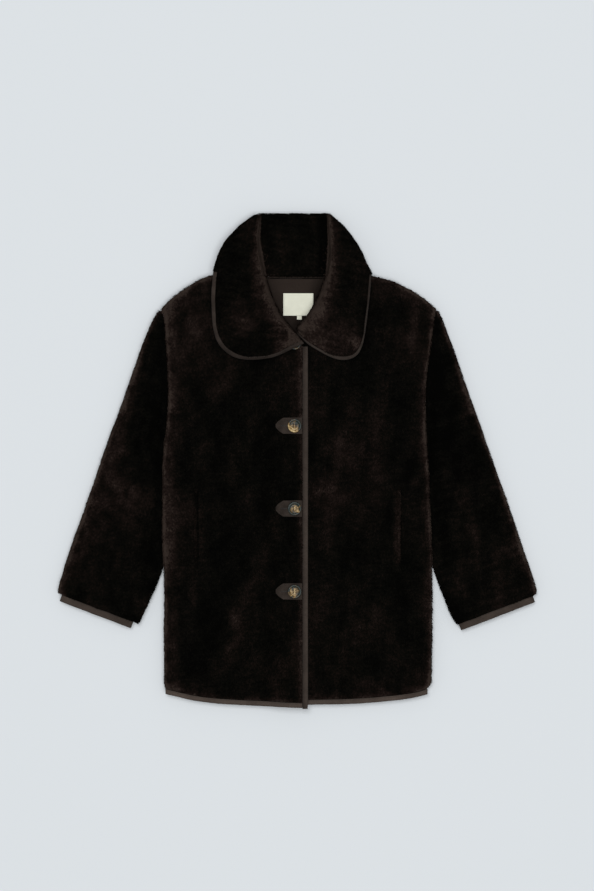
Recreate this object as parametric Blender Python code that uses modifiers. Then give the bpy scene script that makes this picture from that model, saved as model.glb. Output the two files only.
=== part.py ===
"""A buttoned faux fur coat, laid flat on its back with its collar turned down.

+X is the right of the laid coat as seen from above, +Y runs from hem to collar, +Z is up from the
surface it lies on. The wearer's right front is on the -X side and laps over the left one.
Every size in the tables below is in millimetres.
"""

import math

import bmesh
import bpy
import numpy as np
from mathutils import Vector

MM = 0.001

# ---- Driving sizes
FUR_WALL = 11.0  # backing and standing pile together
SEAM_GAP = 0.3  # between two pieces that are sewn or lie together
EDGE_TURN = 5.5  # how far the pile turns towards the other side at an edge
TAPE_WIDTH = 9.5  # hem and cuff binding, as folded
FRONT_TAPE_WIDTH = 10.8
TAPE_HALF_HEIGHT = 4.4
CUFF_TAPE_WIDTH = 13.0
SUEDE_WALL = 1.5
SATIN_WALL = 0.9
SIDE_TUCK = 12.0  # how far the front reaches over the sleeve beyond the back's edge
LIP_WIDTH = 5.0
LIP_HEIGHT = 2.6
POCKET_TOP = -53.0
POCKET_LENGTH = 137.0
POCKET_X = {"right": -190.5, "left": 193.5}
BUTTON_RADIUS = 12.8
BUTTON_THICKNESS = 4.0
BUTTON_HOLE_RADIUS = 1.1
BUTTON_HOLE_SPACING = 2.6
BUTTON_X = -4.0
BUTTON_TOP_Y = 224.0
BUTTON_PITCH = 157.0
PATCH_RIGHT_END = 10.0
FRONT_TAPE_ENDS = (217.0, -470.0)  # from under the collar down to the hem

FRONT_REST = FUR_WALL + SEAM_GAP  # the fronts lie on the back here
FRONT_TOP = FRONT_REST + FUR_WALL
ROLL_CLEARANCE = 0.8  # between the label and the collar's roll that hangs over it
NECK_CLEAR = FUR_WALL + 2 * SEAM_GAP + SUEDE_WALL + SATIN_WALL + ROLL_CLEARANCE

# ---- The body's side lines: where the body ends over each sleeve, and from y = -200 its free side edge.
# tuck is 1 where the back is cut in so that the sleeve slips under the front.
SIDE_LINES = (
    # y, right_x, left_x, tuck
    (289.0, -258.5, 266.0, 0),
    (286.5, -257.5, 265.0, 0),
    (281.0, -255.0, 263.0, 0),
    (261.5, -250.0, 260.0, 0),
    (235.5, -251.0, 257.0, 0),
    (197.5, -246.0, 252.0, 0),
    (135.0, -243.5, 244.0, 0),
    (70.5, -246.0, 245.0, 0),
    (32.5, -252.0, 247.5, 1),
    (-19.0, -255.0, 251.5, 1),
    (-89.5, -255.5, 253.5, 1),
    (-159.5, -256.0, 256.5, 1),
    (-200.5, -252.0, 257.5, 0),
    (-264.0, -252.0, 258.5, 0),
    (-340.0, -252.0, 258.0, 0),
    (-406.5, -252.0, 256.5, 0),
)
YOKE_ROW = 5  # the last row above which rows follow the shoulder and the neck
PANEL_SPREAD = (0.12, 0.3, 0.52, 0.76)  # where the columns between the side and the neck stand
HEM_ROWS = (0.48, 0.84, 1.0)  # how far from the last side row to the hem each of the last rows lies

# ---- Upper edges: shoulder line, then the neck seam or the neckline under the collar
SHOULDER_RIGHT = ((-258.5, 289.0), (-239.0, 311.5), (-204.5, 334.5), (-184.0, 347.0), (-163.0, 360.0))
SHOULDER_LEFT = (
    # x, y
    (145.0, 354.0),
    (169.5, 349.0),
    (200.0, 336.0),
    (221.0, 324.5),
    (241.0, 311.5),
    (266.0, 289.0),
)
BACK_NECK = ((-89.0, 352.5), (-58.5, 351.3), (55.5, 351.3), (86.0, 351.8))
NECKLINE_RIGHT = (
    # x, y
    (-108.0, 354.0),
    (-89.0, 352.5),
    (-79.0, 326.0),
    (-68.0, 300.0),
    (-54.5, 271.5),
    (-41.5, 252.0),
    (-26.0, 235.0),
    (-9.0, 225.0),
    (10.3, 220.5),
)
NECKLINE_LEFT = (
    # x, y
    (-54.5, 213.0),
    (-41.5, 214.0),
    (-26.0, 216.5),
    (-9.0, 222.5),
    (10.3, 232.0),
    (21.5, 239.0),
    (36.0, 254.0),
    (52.0, 277.5),
    (67.0, 306.0),
    (78.5, 330.5),
    (86.0, 351.8),
    (105.0, 352.8),
)

# ---- Hem outlines, at the outside of the binding; past its ends they are the pile's rounded corners
HEM_RIGHT = (
    # x, y
    (-252.0, -438.5),
    (-249.5, -442.5),
    (-244.0, -444.5),
    (-227.5, -448.0),
    (-203.0, -454.3),
    (-173.0, -459.2),
    (-121.0, -463.5),
    (10.3, -468.5),
)
HEM_LEFT = (
    # x, y
    (-54.5, -464.0),
    (21.5, -463.5),
    (120.0, -461.5),
    (205.5, -453.5),
    (231.0, -448.5),
    (248.5, -443.0),
    (254.0, -437.5),
    (257.0, -429.5),
)
HEM_BACK = (
    # x, y
    (-252.0, -437.0),
    (-249.5, -441.0),
    (-244.0, -443.0),
    (-227.5, -446.5),
    (-203.0, -452.8),
    (-173.0, -457.7),
    (-121.0, -462.0),
    (12.0, -464.5),
    (120.0, -460.0),
    (205.5, -451.5),
    (231.0, -447.0),
    (248.5, -441.5),
    (254.0, -436.0),
    (257.0, -428.0),
)
RIGHT_TAPE_START = 1  # the column at which the hem binding begins on the right
LEFT_TAPE_STOP = -2  # and the columns left free past its end on the left

# ---- The lap: how thick the left front is where the right front climbs over it
LAP = ((-68.0, 0.0), (-54.5, 4.0), (-41.5, 9.0), (-26.0, FUR_WALL), (258.5, FUR_WALL))

# ---- Sleeves: for each side line row from the second on, where the outer fold is, and how full it is
SLEEVE_FOLD = (
    # right_x, right_y, left_x, left_y, fullness
    (-263.5, 286.0, 270.0, 284.5, 0.35),
    (-269.0, 277.0, 273.5, 276.0, 0.55),
    (-273.0, 269.0, 278.5, 265.0, 0.80),
    (-282.5, 249.0, 284.5, 249.0, 0.95),
    (-296.0, 214.5, 298.5, 213.0, 1.0),
    (-314.5, 161.5, 318.5, 154.0, 1.0),
    (-334.5, 104.5, 339.5, 95.0, 1.0),
    (-347.5, 70.5, 351.5, 62.5, 1.0),
    (-365.5, 22.0, 368.5, 13.5, 1.0),
    (-384.0, -34.0, 387.0, -38.0, 1.0),
    (-405.5, -96.0, 409.0, -102.5, 1.0),
    (-419.5, -135.0, 422.5, -140.5, 1.0),
)
SLEEVE_END = {
    # under-arm seam x, y, then outer fold x, y, down to the cuff
    "right": (
        (-276.5, -257.0, -439.0, -191.0),
        (-289.5, -285.0, -450.0, -229.0),
        (-301.0, -309.5, -455.5, -251.0),
    ),
    "left": (
        (280.0, -257.5, 439.5, -193.0),
        (292.5, -291.0, 452.0, -229.5),
        (305.0, -311.0, 457.5, -253.0),
    ),
}
SLEEVE_SECTION = (
    # share of the width from the under-arm seam, top where free, top where tucked in, bottom
    (0.0, 16.5, 8.5, 3.5),
    (0.03, 20.5, 10.0, 0.8),
    (0.13, 22.0, 10.6, 0.0),
    (0.22, 22.3, 18.5, 0.0),
    (0.4, 22.5, 22.0, 0.0),
    (0.7, 22.5, 22.5, 0.0),
    (0.93, 21.0, 21.0, 0.6),
    (0.985, 17.0, 17.0, 4.5),
    (1.0, 11.3, 11.3, 11.3),
)
CUFF_FOLD_INSET = 9.0  # how much shorter than the fur edge the cuff's binding is at the fold
CUFF_SEAM_INSET = {"right": 11.0, "left": 3.5}  # and at the seam under the arm

# ---- Collar: one row for each section across it, from the buttoned end up to the top fold behind the neck
COLLAR_RIGHT = (
    # roll_x, roll_y, edge_x, edge_y, trim, crest
    (-3.5, 243.5, 13.5, 222.5, 7.5, 48.0),
    (-10.0, 252.5, -13.0, 210.0, 7.5, 50.0),
    (-18.5, 262.0, -43.0, 196.5, 7.5, 50.0),
    (-27.0, 273.5, -77.5, 192.0, 7.5, 49.0),
    (-35.5, 288.0, -111.5, 194.0, 7.5, 48.0),
    (-42.5, 302.0, -140.0, 211.0, 7.5, 47.0),
    (-48.0, 315.5, -156.0, 237.5, 7.5, 46.0),
    (-52.5, 329.5, -161.0, 279.5, 7.5, 46.0),
    (-56.0, 341.0, -162.0, 317.5, 7.5, 46.0),
    (-58.0, 351.5, -158.5, 359.5, 7.5, 46.0),
    (-58.5, 352.5, -158.0, 361.0, 0.0, 45.0),
    (-62.5, 372.5, -152.5, 383.0, 0.0, 44.0),
    (-67.5, 397.0, -139.0, 412.5, 0.0, 41.0),
    (-70.0, 420.0, -121.0, 435.0, 0.0, 37.0),
    (-70.0, 442.5, -98.5, 455.5, 0.0, 31.0),
    (-69.5, 461.5, -81.0, 467.0, 0.0, 25.0),
    (-67.0, 470.5, -70.5, 470.5, 0.0, 14.0),
)
COLLAR_LEFT = (
    # roll_x, roll_y, edge_x, edge_y, trim, crest
    (1.0, 254.5, 1.5, 240.5, 4.0, 43.0),
    (8.0, 262.0, 23.5, 219.5, 7.5, 49.0),
    (15.5, 271.5, 44.0, 207.5, 7.5, 48.0),
    (23.5, 282.0, 67.0, 195.5, 7.5, 47.0),
    (32.0, 296.5, 91.5, 191.0, 7.5, 46.0),
    (38.5, 309.5, 113.5, 198.5, 6.0, 46.0),
    (44.0, 323.0, 126.0, 222.5, 4.5, 46.0),
    (49.0, 336.5, 132.0, 260.5, 4.0, 46.0),
    (52.5, 344.0, 138.0, 306.0, 4.0, 46.0),
    (55.5, 351.5, 142.0, 355.0, 4.0, 46.0),
    (55.5, 352.5, 142.0, 356.5, 0.0, 45.0),
    (57.5, 372.5, 131.5, 377.0, 0.0, 44.0),
    (59.0, 397.0, 120.0, 404.0, 0.0, 41.0),
    (59.5, 420.0, 106.0, 425.5, 0.0, 37.0),
    (58.5, 442.5, 86.0, 449.5, 0.0, 31.0),
    (58.0, 461.5, 70.0, 463.5, 0.0, 25.0),
    (57.5, 470.5, 61.5, 470.5, 0.0, 14.0),
)
NECK_SEAM_ROW = 10  # from this row up the collar lies on the surface itself, with its stand between the rolls
COLLAR_PARTS = 2  # each step of the two tables is divided into this many on a smooth curve
STAND_HEIGHTS = (
    # y, top, bottom
    (351.0, 15.0, 0.0),
    (372.5, 20.0, 0.0),
    (397.0, 22.0, 0.0),
    (442.5, 21.5, 0.0),
    (461.5, 18.5, 1.5),
    (470.5, 13.0, 6.0),
)
STAND_COLUMNS = (0.08, 0.3, 0.5, 0.7, 0.92)  # places between the two rolls
# where the collar's underside rests: on the right it climbs the lap
COLLAR_REST = ((-162.0, 22.9), (-95.0, 22.9), (-60.0, 31.5), (-41.5, 38.5), (20.0, 38.5))
COLLAR_SECTION = (
    # from, distance, rest of the edge, share of the crest: a section from its edge to its roll
    ("edge", 0.0, 7.5, 3.0),
    ("edge", 3.0, 10.2, 0.8),
    ("edge", 9.0, 11.6, 0.0),
    ("edge", 20.0, 13.0, 0.0),
    ("middle", 0.0, 0.5, 0.0),
    ("roll", 23.0, 0.98, 0.0),
    ("roll", 14.0, 1.0, 1.0),
    ("roll", 6.0, 0.93, 1.0),
    ("roll", 0.0, 0.68, 1.25),
)
COLLAR_FULL_WIDTH = 60.0  # a narrower section has all its distances shortened
SETTLING_LENGTH = 60.0  # behind the neck seam the fall settles into a round fold over this length
LEAST_FOLD = 4.0  # the fold's thickness where it is thinnest
ROUND_FOLD = {
    # (from, distance): shares of the crest at the top and the bottom of the fold behind the neck
    ("edge", 0.0): (0.62, 0.36),
    ("edge", 3.0): (0.84, 0.14),
    ("edge", 9.0): (0.95, 0.03),
}

# ---- Small pieces
NECK_FACING = (
    # y, right_x, left_x
    (349.5, -79.0, 76.0),
    (306.0, -65.0, 62.0),
    (277.5, -52.0, 47.0),
    (251.0, -34.0, 29.0),
    (235.0, -14.0, 12.0),
)
LABEL = {"left": -25.5, "right": 31.5, "bottom": 276.5, "top": 319.0}
SIZE_TAB = {"left": 0.5, "right": 9.5, "bottom": 269.0, "top": 276.2}
PATCH_OUTLINE = (
    # x from the button, half height: a rectangle whose inner end comes to a blunt point
    (-36.0, 3.0),
    (-31.0, 9.0),
    (-22.0, 15.0),
    (0.0, 15.5),
)


# ---- Materials
def finish(name, colour, roughness):
    """A plain Principled material."""
    material = bpy.data.materials.new(name)
    material.use_nodes = True
    shader = material.node_tree.nodes["Principled BSDF"]
    shader.inputs["Base Color"].default_value = (*colour, 1.0)
    shader.inputs["Roughness"].default_value = roughness
    material.diffuse_color = (*colour, 1.0)
    return material


# ---- Shapes
def lookup(table, key, column=1):
    """The value of a column at a key, on straight lines between the rows of a rising table."""
    return float(np.interp(key, [row[0] for row in table], [row[column] for row in table]))


def between(start, end, share):
    return start + (end - start) * share


def show(name, mesh, material):
    """Put a finished mesh in the coat's collection as one named piece."""
    mesh.materials.clear()
    mesh.materials.append(material)
    mesh.shade_smooth()
    mesh.set_sharp_from_angle(angle=math.radians(50))
    piece = bpy.data.objects.new(name, mesh)
    coat.objects.link(piece)
    return piece


def wall(name, upper, under, material, missing=()):
    """One closed wall of cloth between two grids of points, joined all round their open edges."""
    mesh_data = bmesh.new()
    corners = {}

    def corner(side, place):
        if (side, place) not in corners:
            row, column = place
            point = (upper, under)[side][row][column]
            corners[side, place] = mesh_data.verts.new(Vector(point) * MM)
        return corners[side, place]

    borders = {}
    for row in range(len(upper) - 1):
        for column in range(len(upper[0]) - 1):
            if (row, column) in missing:
                continue
            ring = [(row, column), (row, column + 1), (row + 1, column + 1), (row + 1, column)]
            mesh_data.faces.new([corner(0, place) for place in ring])
            mesh_data.faces.new([corner(1, place) for place in reversed(ring)])
            for first, second in zip(ring, ring[1:] + ring[:1]):
                edge = frozenset((first, second))
                if edge in borders:
                    del borders[edge]
                else:
                    borders[edge] = (first, second)
    for first, second in borders.values():
        mesh_data.faces.new([corner(0, second), corner(0, first), corner(1, first), corner(1, second)])
    bmesh.ops.recalc_face_normals(mesh_data, faces=mesh_data.faces)
    mesh = bpy.data.meshes.new(name)
    mesh_data.to_mesh(mesh)
    mesh_data.free()
    return show(name, mesh, material)


def strip(name, inner_edge, outer_edge, levels, material):
    """A folded tape between two lines of x, y points, rounded over towards its outer edge.

    Each level is the tape's middle height at that point and half its thickness.
    """
    across = ((0.0, 0.85), (0.2, 1.0), (0.75, 0.97), (1.0, 0.5))  # share of the width, share of the height
    upper = []
    under = []
    for inner, outer, (middle, half_height) in zip(inner_edge, outer_edge, levels):
        places = [[between(inner[axis], outer[axis], share) for axis in range(2)] for share, _ in across]
        rises = [half_height * height for _, height in across]
        upper.append([(x, y, middle + rise) for (x, y), rise in zip(places, rises)])
        under.append([(x, y, middle - rise) for (x, y), rise in zip(places, rises)])
    return wall(name, upper, under, material)


def folded_tube(name, sections, material):
    """A flattened tube whose wall is folded along one side and meets itself along the other.

    Each section has its seam point, its fold point, and rows of share, top and bottom height.
    """
    slit = 0.2
    upper = []
    under = []
    for seam, fold, heights in sections:
        width = math.dist(seam, fold)
        inside = 1.0 - min(FUR_WALL / width, 0.45)
        top_side = []
        bottom_side = []
        top_lining = []
        bottom_lining = []
        for share, top, bottom in heights:
            outer_place = [between(seam[axis], fold[axis], share) for axis in range(2)]
            inner_place = [between(seam[axis], fold[axis], share * inside) for axis in range(2)]
            middle = (top + bottom) / 2
            top_side.append((*outer_place, top))
            bottom_side.append((*outer_place, bottom))
            top_lining.append((*inner_place, middle + slit))
            bottom_lining.append((*inner_place, middle - slit))
        fold_lining = (*top_lining[-1][:2], heights[-1][1])
        upper.append(top_side + bottom_side[-2::-1])
        under.append(top_lining[:-1] + [fold_lining] + bottom_lining[-2::-1])
    return wall(name, upper, under, material)


# ---- The body: back and fronts
def edge_turn(distance):
    """How far the pile has turned down at this distance from an edge."""
    reach = 8.0
    if distance >= reach:
        return 0.0
    return EDGE_TURN * (1.0 - math.sqrt(1.0 - (1.0 - distance / reach) ** 2))


def swell(x, y):
    """Soft unevenness of the laid fronts, none near the lap or the collar."""
    away_from_lap = min(max((abs(x) - 70.0) / 60.0, 0.0), 1.0)
    away_from_collar = min(max((170.0 - y) / 120.0, 0.0), 1.0)
    wave = 1.0 + math.sin(x / 68.0 + y / 105.0) * math.cos(y / 88.0)
    return 0.9 * away_from_lap * away_from_collar * wave


def panel_places(columns_at, upper_edge, hem, hem_tape=TAPE_WIDTH):
    """The x, y grid of a panel: rows from its upper edge to its hem, columns from side to side."""
    yoke_y = SIDE_LINES[YOKE_ROW][0]
    first_y = SIDE_LINES[0][0]
    tops = [lookup(upper_edge, x) for x in columns_at(0)]
    rows = []
    for index, (side_y, *_) in enumerate(SIDE_LINES):
        share = (first_y - side_y) / (first_y - yoke_y)
        row = []
        for x, top_y in zip(columns_at(index), tops):
            row.append((x, between(top_y, yoke_y, share) if index < YOKE_ROW else side_y))
        rows.append(row)
    last_y = SIDE_LINES[-1][0]
    for share in HEM_ROWS:
        last_columns = columns_at(len(SIDE_LINES) - 1)
        rows.append([(x, between(last_y, lookup(hem, x) + hem_tape, share)) for x in last_columns])
    return rows


def edge_distances(count, first_rounded=True, last_rounded=True):
    """For each row or column, how far it counts as lying from a rounded edge."""
    distances = [99.0] * count
    for step, distance in enumerate((0.0, 2.5, 8.0)):
        if first_rounded:
            distances[step] = distance
        if last_rounded:
            distances[count - 1 - step] = distance
    return distances


def turned(places, column_distances):
    """How far the pile has turned down at each point of a panel."""
    row_distances = edge_distances(len(places))
    return [[edge_turn(min(row, column)) for column in column_distances] for row in row_distances]


def back_columns(index):
    _, right_side, left_side, tuck = SIDE_LINES[index]
    right_side += tuck * (SIDE_TUCK + SEAM_GAP)
    left_side -= tuck * (SIDE_TUCK + SEAM_GAP)
    inner_right = -108.0
    inner_left = 105.0
    right = [right_side, right_side + 2.5, right_side + 8.0]
    right += [between(right_side + 8.0, inner_right, share) for share in PANEL_SPREAD]
    left = [between(left_side - 8.0, inner_left, share) for share in reversed(PANEL_SPREAD)]
    left += [left_side - 8.0, left_side - 2.5, left_side]
    return right + [inner_right, -89.0, -58.5, -20.0, 20.0, 55.5, 86.0, inner_left] + left


def right_columns(index):
    side = SIDE_LINES[index][1]
    start = [side, side + 2.5, side + 8.0]
    start += [between(side + 8.0, NECKLINE_RIGHT[0][0], share) for share in PANEL_SPREAD]
    return start + [x for x, _ in NECKLINE_RIGHT]


def left_columns(index):
    side = SIDE_LINES[index][2]
    end = [between(side - 8.0, NECKLINE_LEFT[-1][0], share) for share in reversed(PANEL_SPREAD)]
    return [x for x, _ in NECKLINE_LEFT] + end + [side - 8.0, side - 2.5, side]


def left_front_wall(x):
    """How thick the left front is: it thins out under the lap."""
    return lookup(LAP, x)


def right_front_rest(x):
    """Where the right front's underside lies, on the back or on the left front."""
    under = lookup(LAP, x)
    return FRONT_REST + under + (SEAM_GAP if under else 0.0)


def right_front_top(x):
    """The right front's upper side near the lap."""
    return right_front_rest(x) + FUR_WALL


def right_front_tape(x):
    return right_front_rest(x) + FUR_WALL / 2, TAPE_HALF_HEIGHT


def left_front_tape(x):
    half_wall = left_front_wall(x) / 2
    return FRONT_REST + half_wall, min(half_wall, TAPE_HALF_HEIGHT)


def hem_strip(name, last_row, hem, level_at):
    """The binding under a panel's last row, or under as much of it as is given."""
    inner = [(x, y - SEAM_GAP) for x, y in last_row]
    outer = [(x, lookup(hem, x)) for x, _ in last_row]
    strip(name, inner, outer, [level_at(x) for x, _ in last_row], tape)


def make_back():
    upper_edge = SHOULDER_RIGHT + BACK_NECK + SHOULDER_LEFT
    places = panel_places(back_columns, upper_edge, HEM_BACK)
    turns = turned(places, edge_distances(len(places[0])))
    upper = [[(x, y, FUR_WALL) for x, y in row] for row in places]
    under = [[(x, y, turn) for (x, y), turn in zip(row, row_turns)] for row, row_turns in zip(places, turns)]
    wall("back", upper, under, fur)
    bound_part = places[-1][RIGHT_TAPE_START:LEFT_TAPE_STOP]
    hem_strip("binding_hem_back", bound_part, HEM_BACK, lambda x: (FUR_WALL / 2, TAPE_HALF_HEIGHT))


def make_right_front():
    places = panel_places(right_columns, SHOULDER_RIGHT + NECKLINE_RIGHT, HEM_RIGHT)
    turns = turned(places, edge_distances(len(places[0]), last_rounded=False))
    upper = []
    under = []
    for row, row_turns in zip(places, turns):
        tops = [right_front_top(x) + swell(x, y) - turn for (x, y), turn in zip(row, row_turns)]
        upper.append([(x, y, top) for (x, y), top in zip(row, tops)])
        under.append([(x, y, right_front_rest(x)) for x, y in row])
    wall("front_right", upper, under, fur)
    hem_strip("binding_hem_right", places[-1][RIGHT_TAPE_START:], HEM_RIGHT, right_front_tape)


def make_left_front():
    places = panel_places(left_columns, NECKLINE_LEFT + SHOULDER_LEFT, HEM_LEFT)
    turns = turned(places, edge_distances(len(places[0]), first_rounded=False))
    upper = []
    under = []
    for row, row_turns in zip(places, turns):
        # under the lap the wall is thin already, and its edge isn't turned
        row_turns = [turn * left_front_wall(x) / FUR_WALL for (x, _), turn in zip(row, row_turns)]
        tops = [FRONT_REST + left_front_wall(x) + swell(x, y) - turn for (x, y), turn in zip(row, row_turns)]
        upper.append([(x, y, top) for (x, y), top in zip(row, tops)])
        under.append([(x, y, FRONT_REST) for x, y in row])
    wall("front_left", upper, under, fur)
    hem_strip("binding_hem_left", places[-1][:LEFT_TAPE_STOP], HEM_LEFT, left_front_tape)


def make_front_binding():
    inner_x = NECKLINE_RIGHT[-1][0] + SEAM_GAP
    outer_x = inner_x + FRONT_TAPE_WIDTH
    steps = 14
    lines = [between(*FRONT_TAPE_ENDS, step / steps) for step in range(steps + 1)]
    levels = [right_front_tape(inner_x)] * len(lines)
    strip("binding_front", [(inner_x, y) for y in lines], [(outer_x, y) for y in lines], levels, tape)


# ---- Sleeves
def sleeve_heights(tuck, fullness):
    """The section's heights, blended between free and tucked, and drawn towards its middle where thin."""
    rows = []
    for share, free_top, tucked_top, bottom in SLEEVE_SECTION:
        top = tucked_top if tuck else free_top
        middle = FUR_WALL
        rows.append((share, between(middle, top, fullness), between(middle, bottom, fullness)))
    return rows


def make_sleeve(side):
    sign = {"right": -1, "left": 1}[side]
    side_column = {"right": 1, "left": 2}[side]
    fold_column = {"right": 0, "left": 2}[side]
    sections = []
    for line, fold in zip(SIDE_LINES[1:], SLEEVE_FOLD):
        tuck = line[3]
        seam_x = line[side_column] + sign * SEAM_GAP - sign * tuck * SIDE_TUCK
        fold_point = fold[fold_column : fold_column + 2]
        beside_tuck = tuck or line[0] in (70.5, -200.5)
        sections.append(((seam_x, line[0]), fold_point, sleeve_heights(beside_tuck, fold[4])))
    for seam_x, seam_y, fold_x, fold_y in SLEEVE_END[side]:
        sections.append(((seam_x, seam_y), (fold_x, fold_y), sleeve_heights(0, 1.0)))
    folded_tube("sleeve_" + side, sections, fur)

    cuff_seam, cuff_fold = sections[-1][:2]
    along = Vector((cuff_fold[0] - cuff_seam[0], cuff_fold[1] - cuff_seam[1])).normalized()
    outward = Vector((along.y, -along.x))
    if outward.y > 0:
        outward.negate()
    seam = Vector(cuff_seam) + along * CUFF_SEAM_INSET[side]
    fold = Vector(cuff_fold) - along * CUFF_FOLD_INSET
    cuff_sections = []
    for reach, height in ((SEAM_GAP, 0.74), (0.75 * CUFF_TAPE_WIDTH, 0.78), (CUFF_TAPE_WIDTH, 0.62)):
        start = seam + outward * reach
        end = fold + outward * reach
        cuff_sections.append((tuple(start), tuple(end), sleeve_heights(0, height)))
    folded_tube("binding_cuff_" + side, cuff_sections, tape)


# ---- Collar
def refined(table):
    """The rows of a table with more rows between them, on smooth curves through the given ones."""
    values = np.array(table)
    steps = np.hypot(np.diff(values[:, 2]), np.diff(values[:, 3]))
    position = np.concatenate(([0.0], np.cumsum(steps)))
    slopes = np.gradient(values, position, axis=0)
    rows = []
    for index, step in enumerate(steps):
        for part in range(COLLAR_PARTS):
            t = part / COLLAR_PARTS
            start_pull = values[index] * (1 + 2 * t) * (1 - t) ** 2 + slopes[index] * step * t * (1 - t) ** 2
            end_pull = values[index + 1] * t**2 * (3 - 2 * t) - slopes[index + 1] * step * t**2 * (1 - t)
            rows.append(start_pull + end_pull)
    rows.append(values[-1])
    return [[float(value) for value in row] for row in rows]


def collar_rest(x, side):
    """Where the collar's underside lies on the fronts: the right half climbs the lap."""
    return lookup(COLLAR_REST, x) if side == "right" else COLLAR_REST[0][1]


def resting_heights(section, rest, crest):
    """Top and bottom of a point where the collar lies on the fronts and hangs over the neck opening."""
    start, _, high, low = section
    if start == "edge":
        return rest + high, rest + low
    if start == "middle":
        return between(rest + COLLAR_SECTION[3][2], crest, high), rest
    hanging = low > 0
    foot = NECK_CLEAR if hanging else rest
    lift = (low - 1.0) * (crest - NECK_CLEAR) if low > 1.0 else 0.0
    return between(NECK_CLEAR, crest, high), foot + lift


def surface_heights(section, roll_y, crest):
    """Top and bottom behind the neck, where the collar lies on the surface and its side is a round fold."""
    start, distance, high, _ = section
    stand_top = lookup(STAND_HEIGHTS, roll_y)
    pinch = lookup(STAND_HEIGHTS, roll_y, 2)
    if start == "roll" and distance == 0.0:
        return stand_top, pinch
    flat_top = resting_heights(section, COLLAR_REST[0][1], crest)[0]
    round_top, round_bottom = ROUND_FOLD.get((start, distance), (1.0, 0.0))
    settled = min(max((roll_y - STAND_HEIGHTS[0][0]) / SETTLING_LENGTH, 0.0), 1.0)
    top = between(flat_top, crest * round_top, settled)
    return max(top, pinch + LEAST_FOLD), max(crest * round_bottom, pinch)


def collar_half(table, side, on_surface):
    """Upper and under points of some sections of one half, each from its edge to its roll."""
    upper = []
    under = []
    for roll_x, roll_y, edge_x, edge_y, trim, crest in table:
        roll = Vector((roll_x, roll_y))
        outline = Vector((edge_x, edge_y))
        inward = (roll - outline).normalized()
        edge = outline if on_surface else outline + inward * (trim + SEAM_GAP)
        scale = min(1.0, (roll - edge).length / COLLAR_FULL_WIDTH)
        top_row = []
        bottom_row = []
        for section in COLLAR_SECTION:
            place = (edge + roll) / 2
            if section[0] == "edge":
                place = edge + inward * section[1] * scale
            if section[0] == "roll":
                place = roll - inward * section[1] * scale
            if on_surface:
                top, bottom = surface_heights(section, roll_y, crest)
            else:
                top, bottom = resting_heights(section, collar_rest(place.x, side), crest)
            top_row.append((place.x, place.y, top))
            bottom_row.append((place.x, place.y, bottom))
        upper.append(top_row)
        under.append(bottom_row)
    return upper, under


def collar_binding(side, table):
    """The tape round the edge of one half, as far as it shows."""
    inner_edge = []
    outer_edge = []
    levels = []
    for roll_x, roll_y, edge_x, edge_y, trim, _ in table:
        outline = Vector((edge_x, edge_y))
        inward = (Vector((roll_x, roll_y)) - outline).normalized()
        inner_edge.append(tuple(outline + inward * trim))
        outer_edge.append((edge_x, edge_y))
        levels.append((collar_rest(edge_x, side) + FUR_WALL / 2, TAPE_HALF_HEIGHT))
    strip("binding_collar_" + side, inner_edge, outer_edge, levels, tape)


def make_collar():
    grids = {}
    for side, table in (("right", COLLAR_RIGHT), ("left", COLLAR_LEFT)):
        resting = refined(table[:NECK_SEAM_ROW])
        behind = refined(table[NECK_SEAM_ROW:])
        front_part = collar_half(resting, side, False)
        back_part = collar_half(behind, side, True)
        grids[side] = [front_part[layer] + back_part[layer] for layer in range(2)]
        collar_binding(side, resting)
        seam_row = len(resting)
    layers = []
    for layer in range(2):
        grid = []
        for right_row, left_row in zip(grids["right"][layer], grids["left"][layer]):
            stand_row = []
            for share in STAND_COLUMNS:
                x, y = (between(right_row[-1][axis], left_row[-1][axis], share) for axis in range(2))
                stand_row.append((x, y, lookup(STAND_HEIGHTS, y, layer + 1)))
            grid.append(right_row + stand_row + left_row[::-1])
        layers.append(grid)
    opening = range(len(COLLAR_SECTION) - 1, len(COLLAR_SECTION) + len(STAND_COLUMNS))
    missing = {(row, column) for row in range(seam_row) for column in opening}
    wall("collar", *layers, fur, missing)


# ---- Neck facing, label, pocket lips, patches
def flat_piece(name, rows, bottom, thickness, material):
    """A flat piece of cloth from rows of x, y points, lying at one height."""
    upper = [[(x, y, bottom + thickness) for x, y in row] for row in rows]
    under = [[(x, y, bottom) for x, y in row] for row in rows]
    wall(name, upper, under, material)


def make_neck_pieces():
    rows = [[(right_x, y), (left_x, y)] for y, right_x, left_x in NECK_FACING]
    flat_piece("back_neck_facing", rows, FUR_WALL + SEAM_GAP, SUEDE_WALL, suede)
    on_facing = FUR_WALL + SUEDE_WALL + 2 * SEAM_GAP
    for name, box in (("label", LABEL), ("size_tab", SIZE_TAB)):
        rows = [[(box["left"], y), (box["right"], y)] for y in (box["top"], box["bottom"])]
        flat_piece(name, rows, on_facing, SATIN_WALL, satin)


def make_pocket_lip(side):
    """A low ridge of pile along the pocket slit, made from the front's own surface."""
    x = POCKET_X[side]
    steps = 8
    across = ((-0.5, 0.35), (-0.2, 1.0), (0.2, 1.0), (0.5, 0.35))
    upper = []
    under = []
    for step in range(steps + 1):
        y = POCKET_TOP - POCKET_LENGTH * step / steps
        taper = 0.55 if step in (0, steps) else 1.0
        places = [(x + share * LIP_WIDTH, FRONT_TOP + swell(x, y) + 2 * SEAM_GAP) for share, _ in across]
        upper.append([(px, y, z + LIP_HEIGHT * rise * taper) for (px, z), (_, rise) in zip(places, across)])
        under.append([(px, y, z) for px, z in places])
    wall("pocket_lip_" + side, upper, under, fur)


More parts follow.
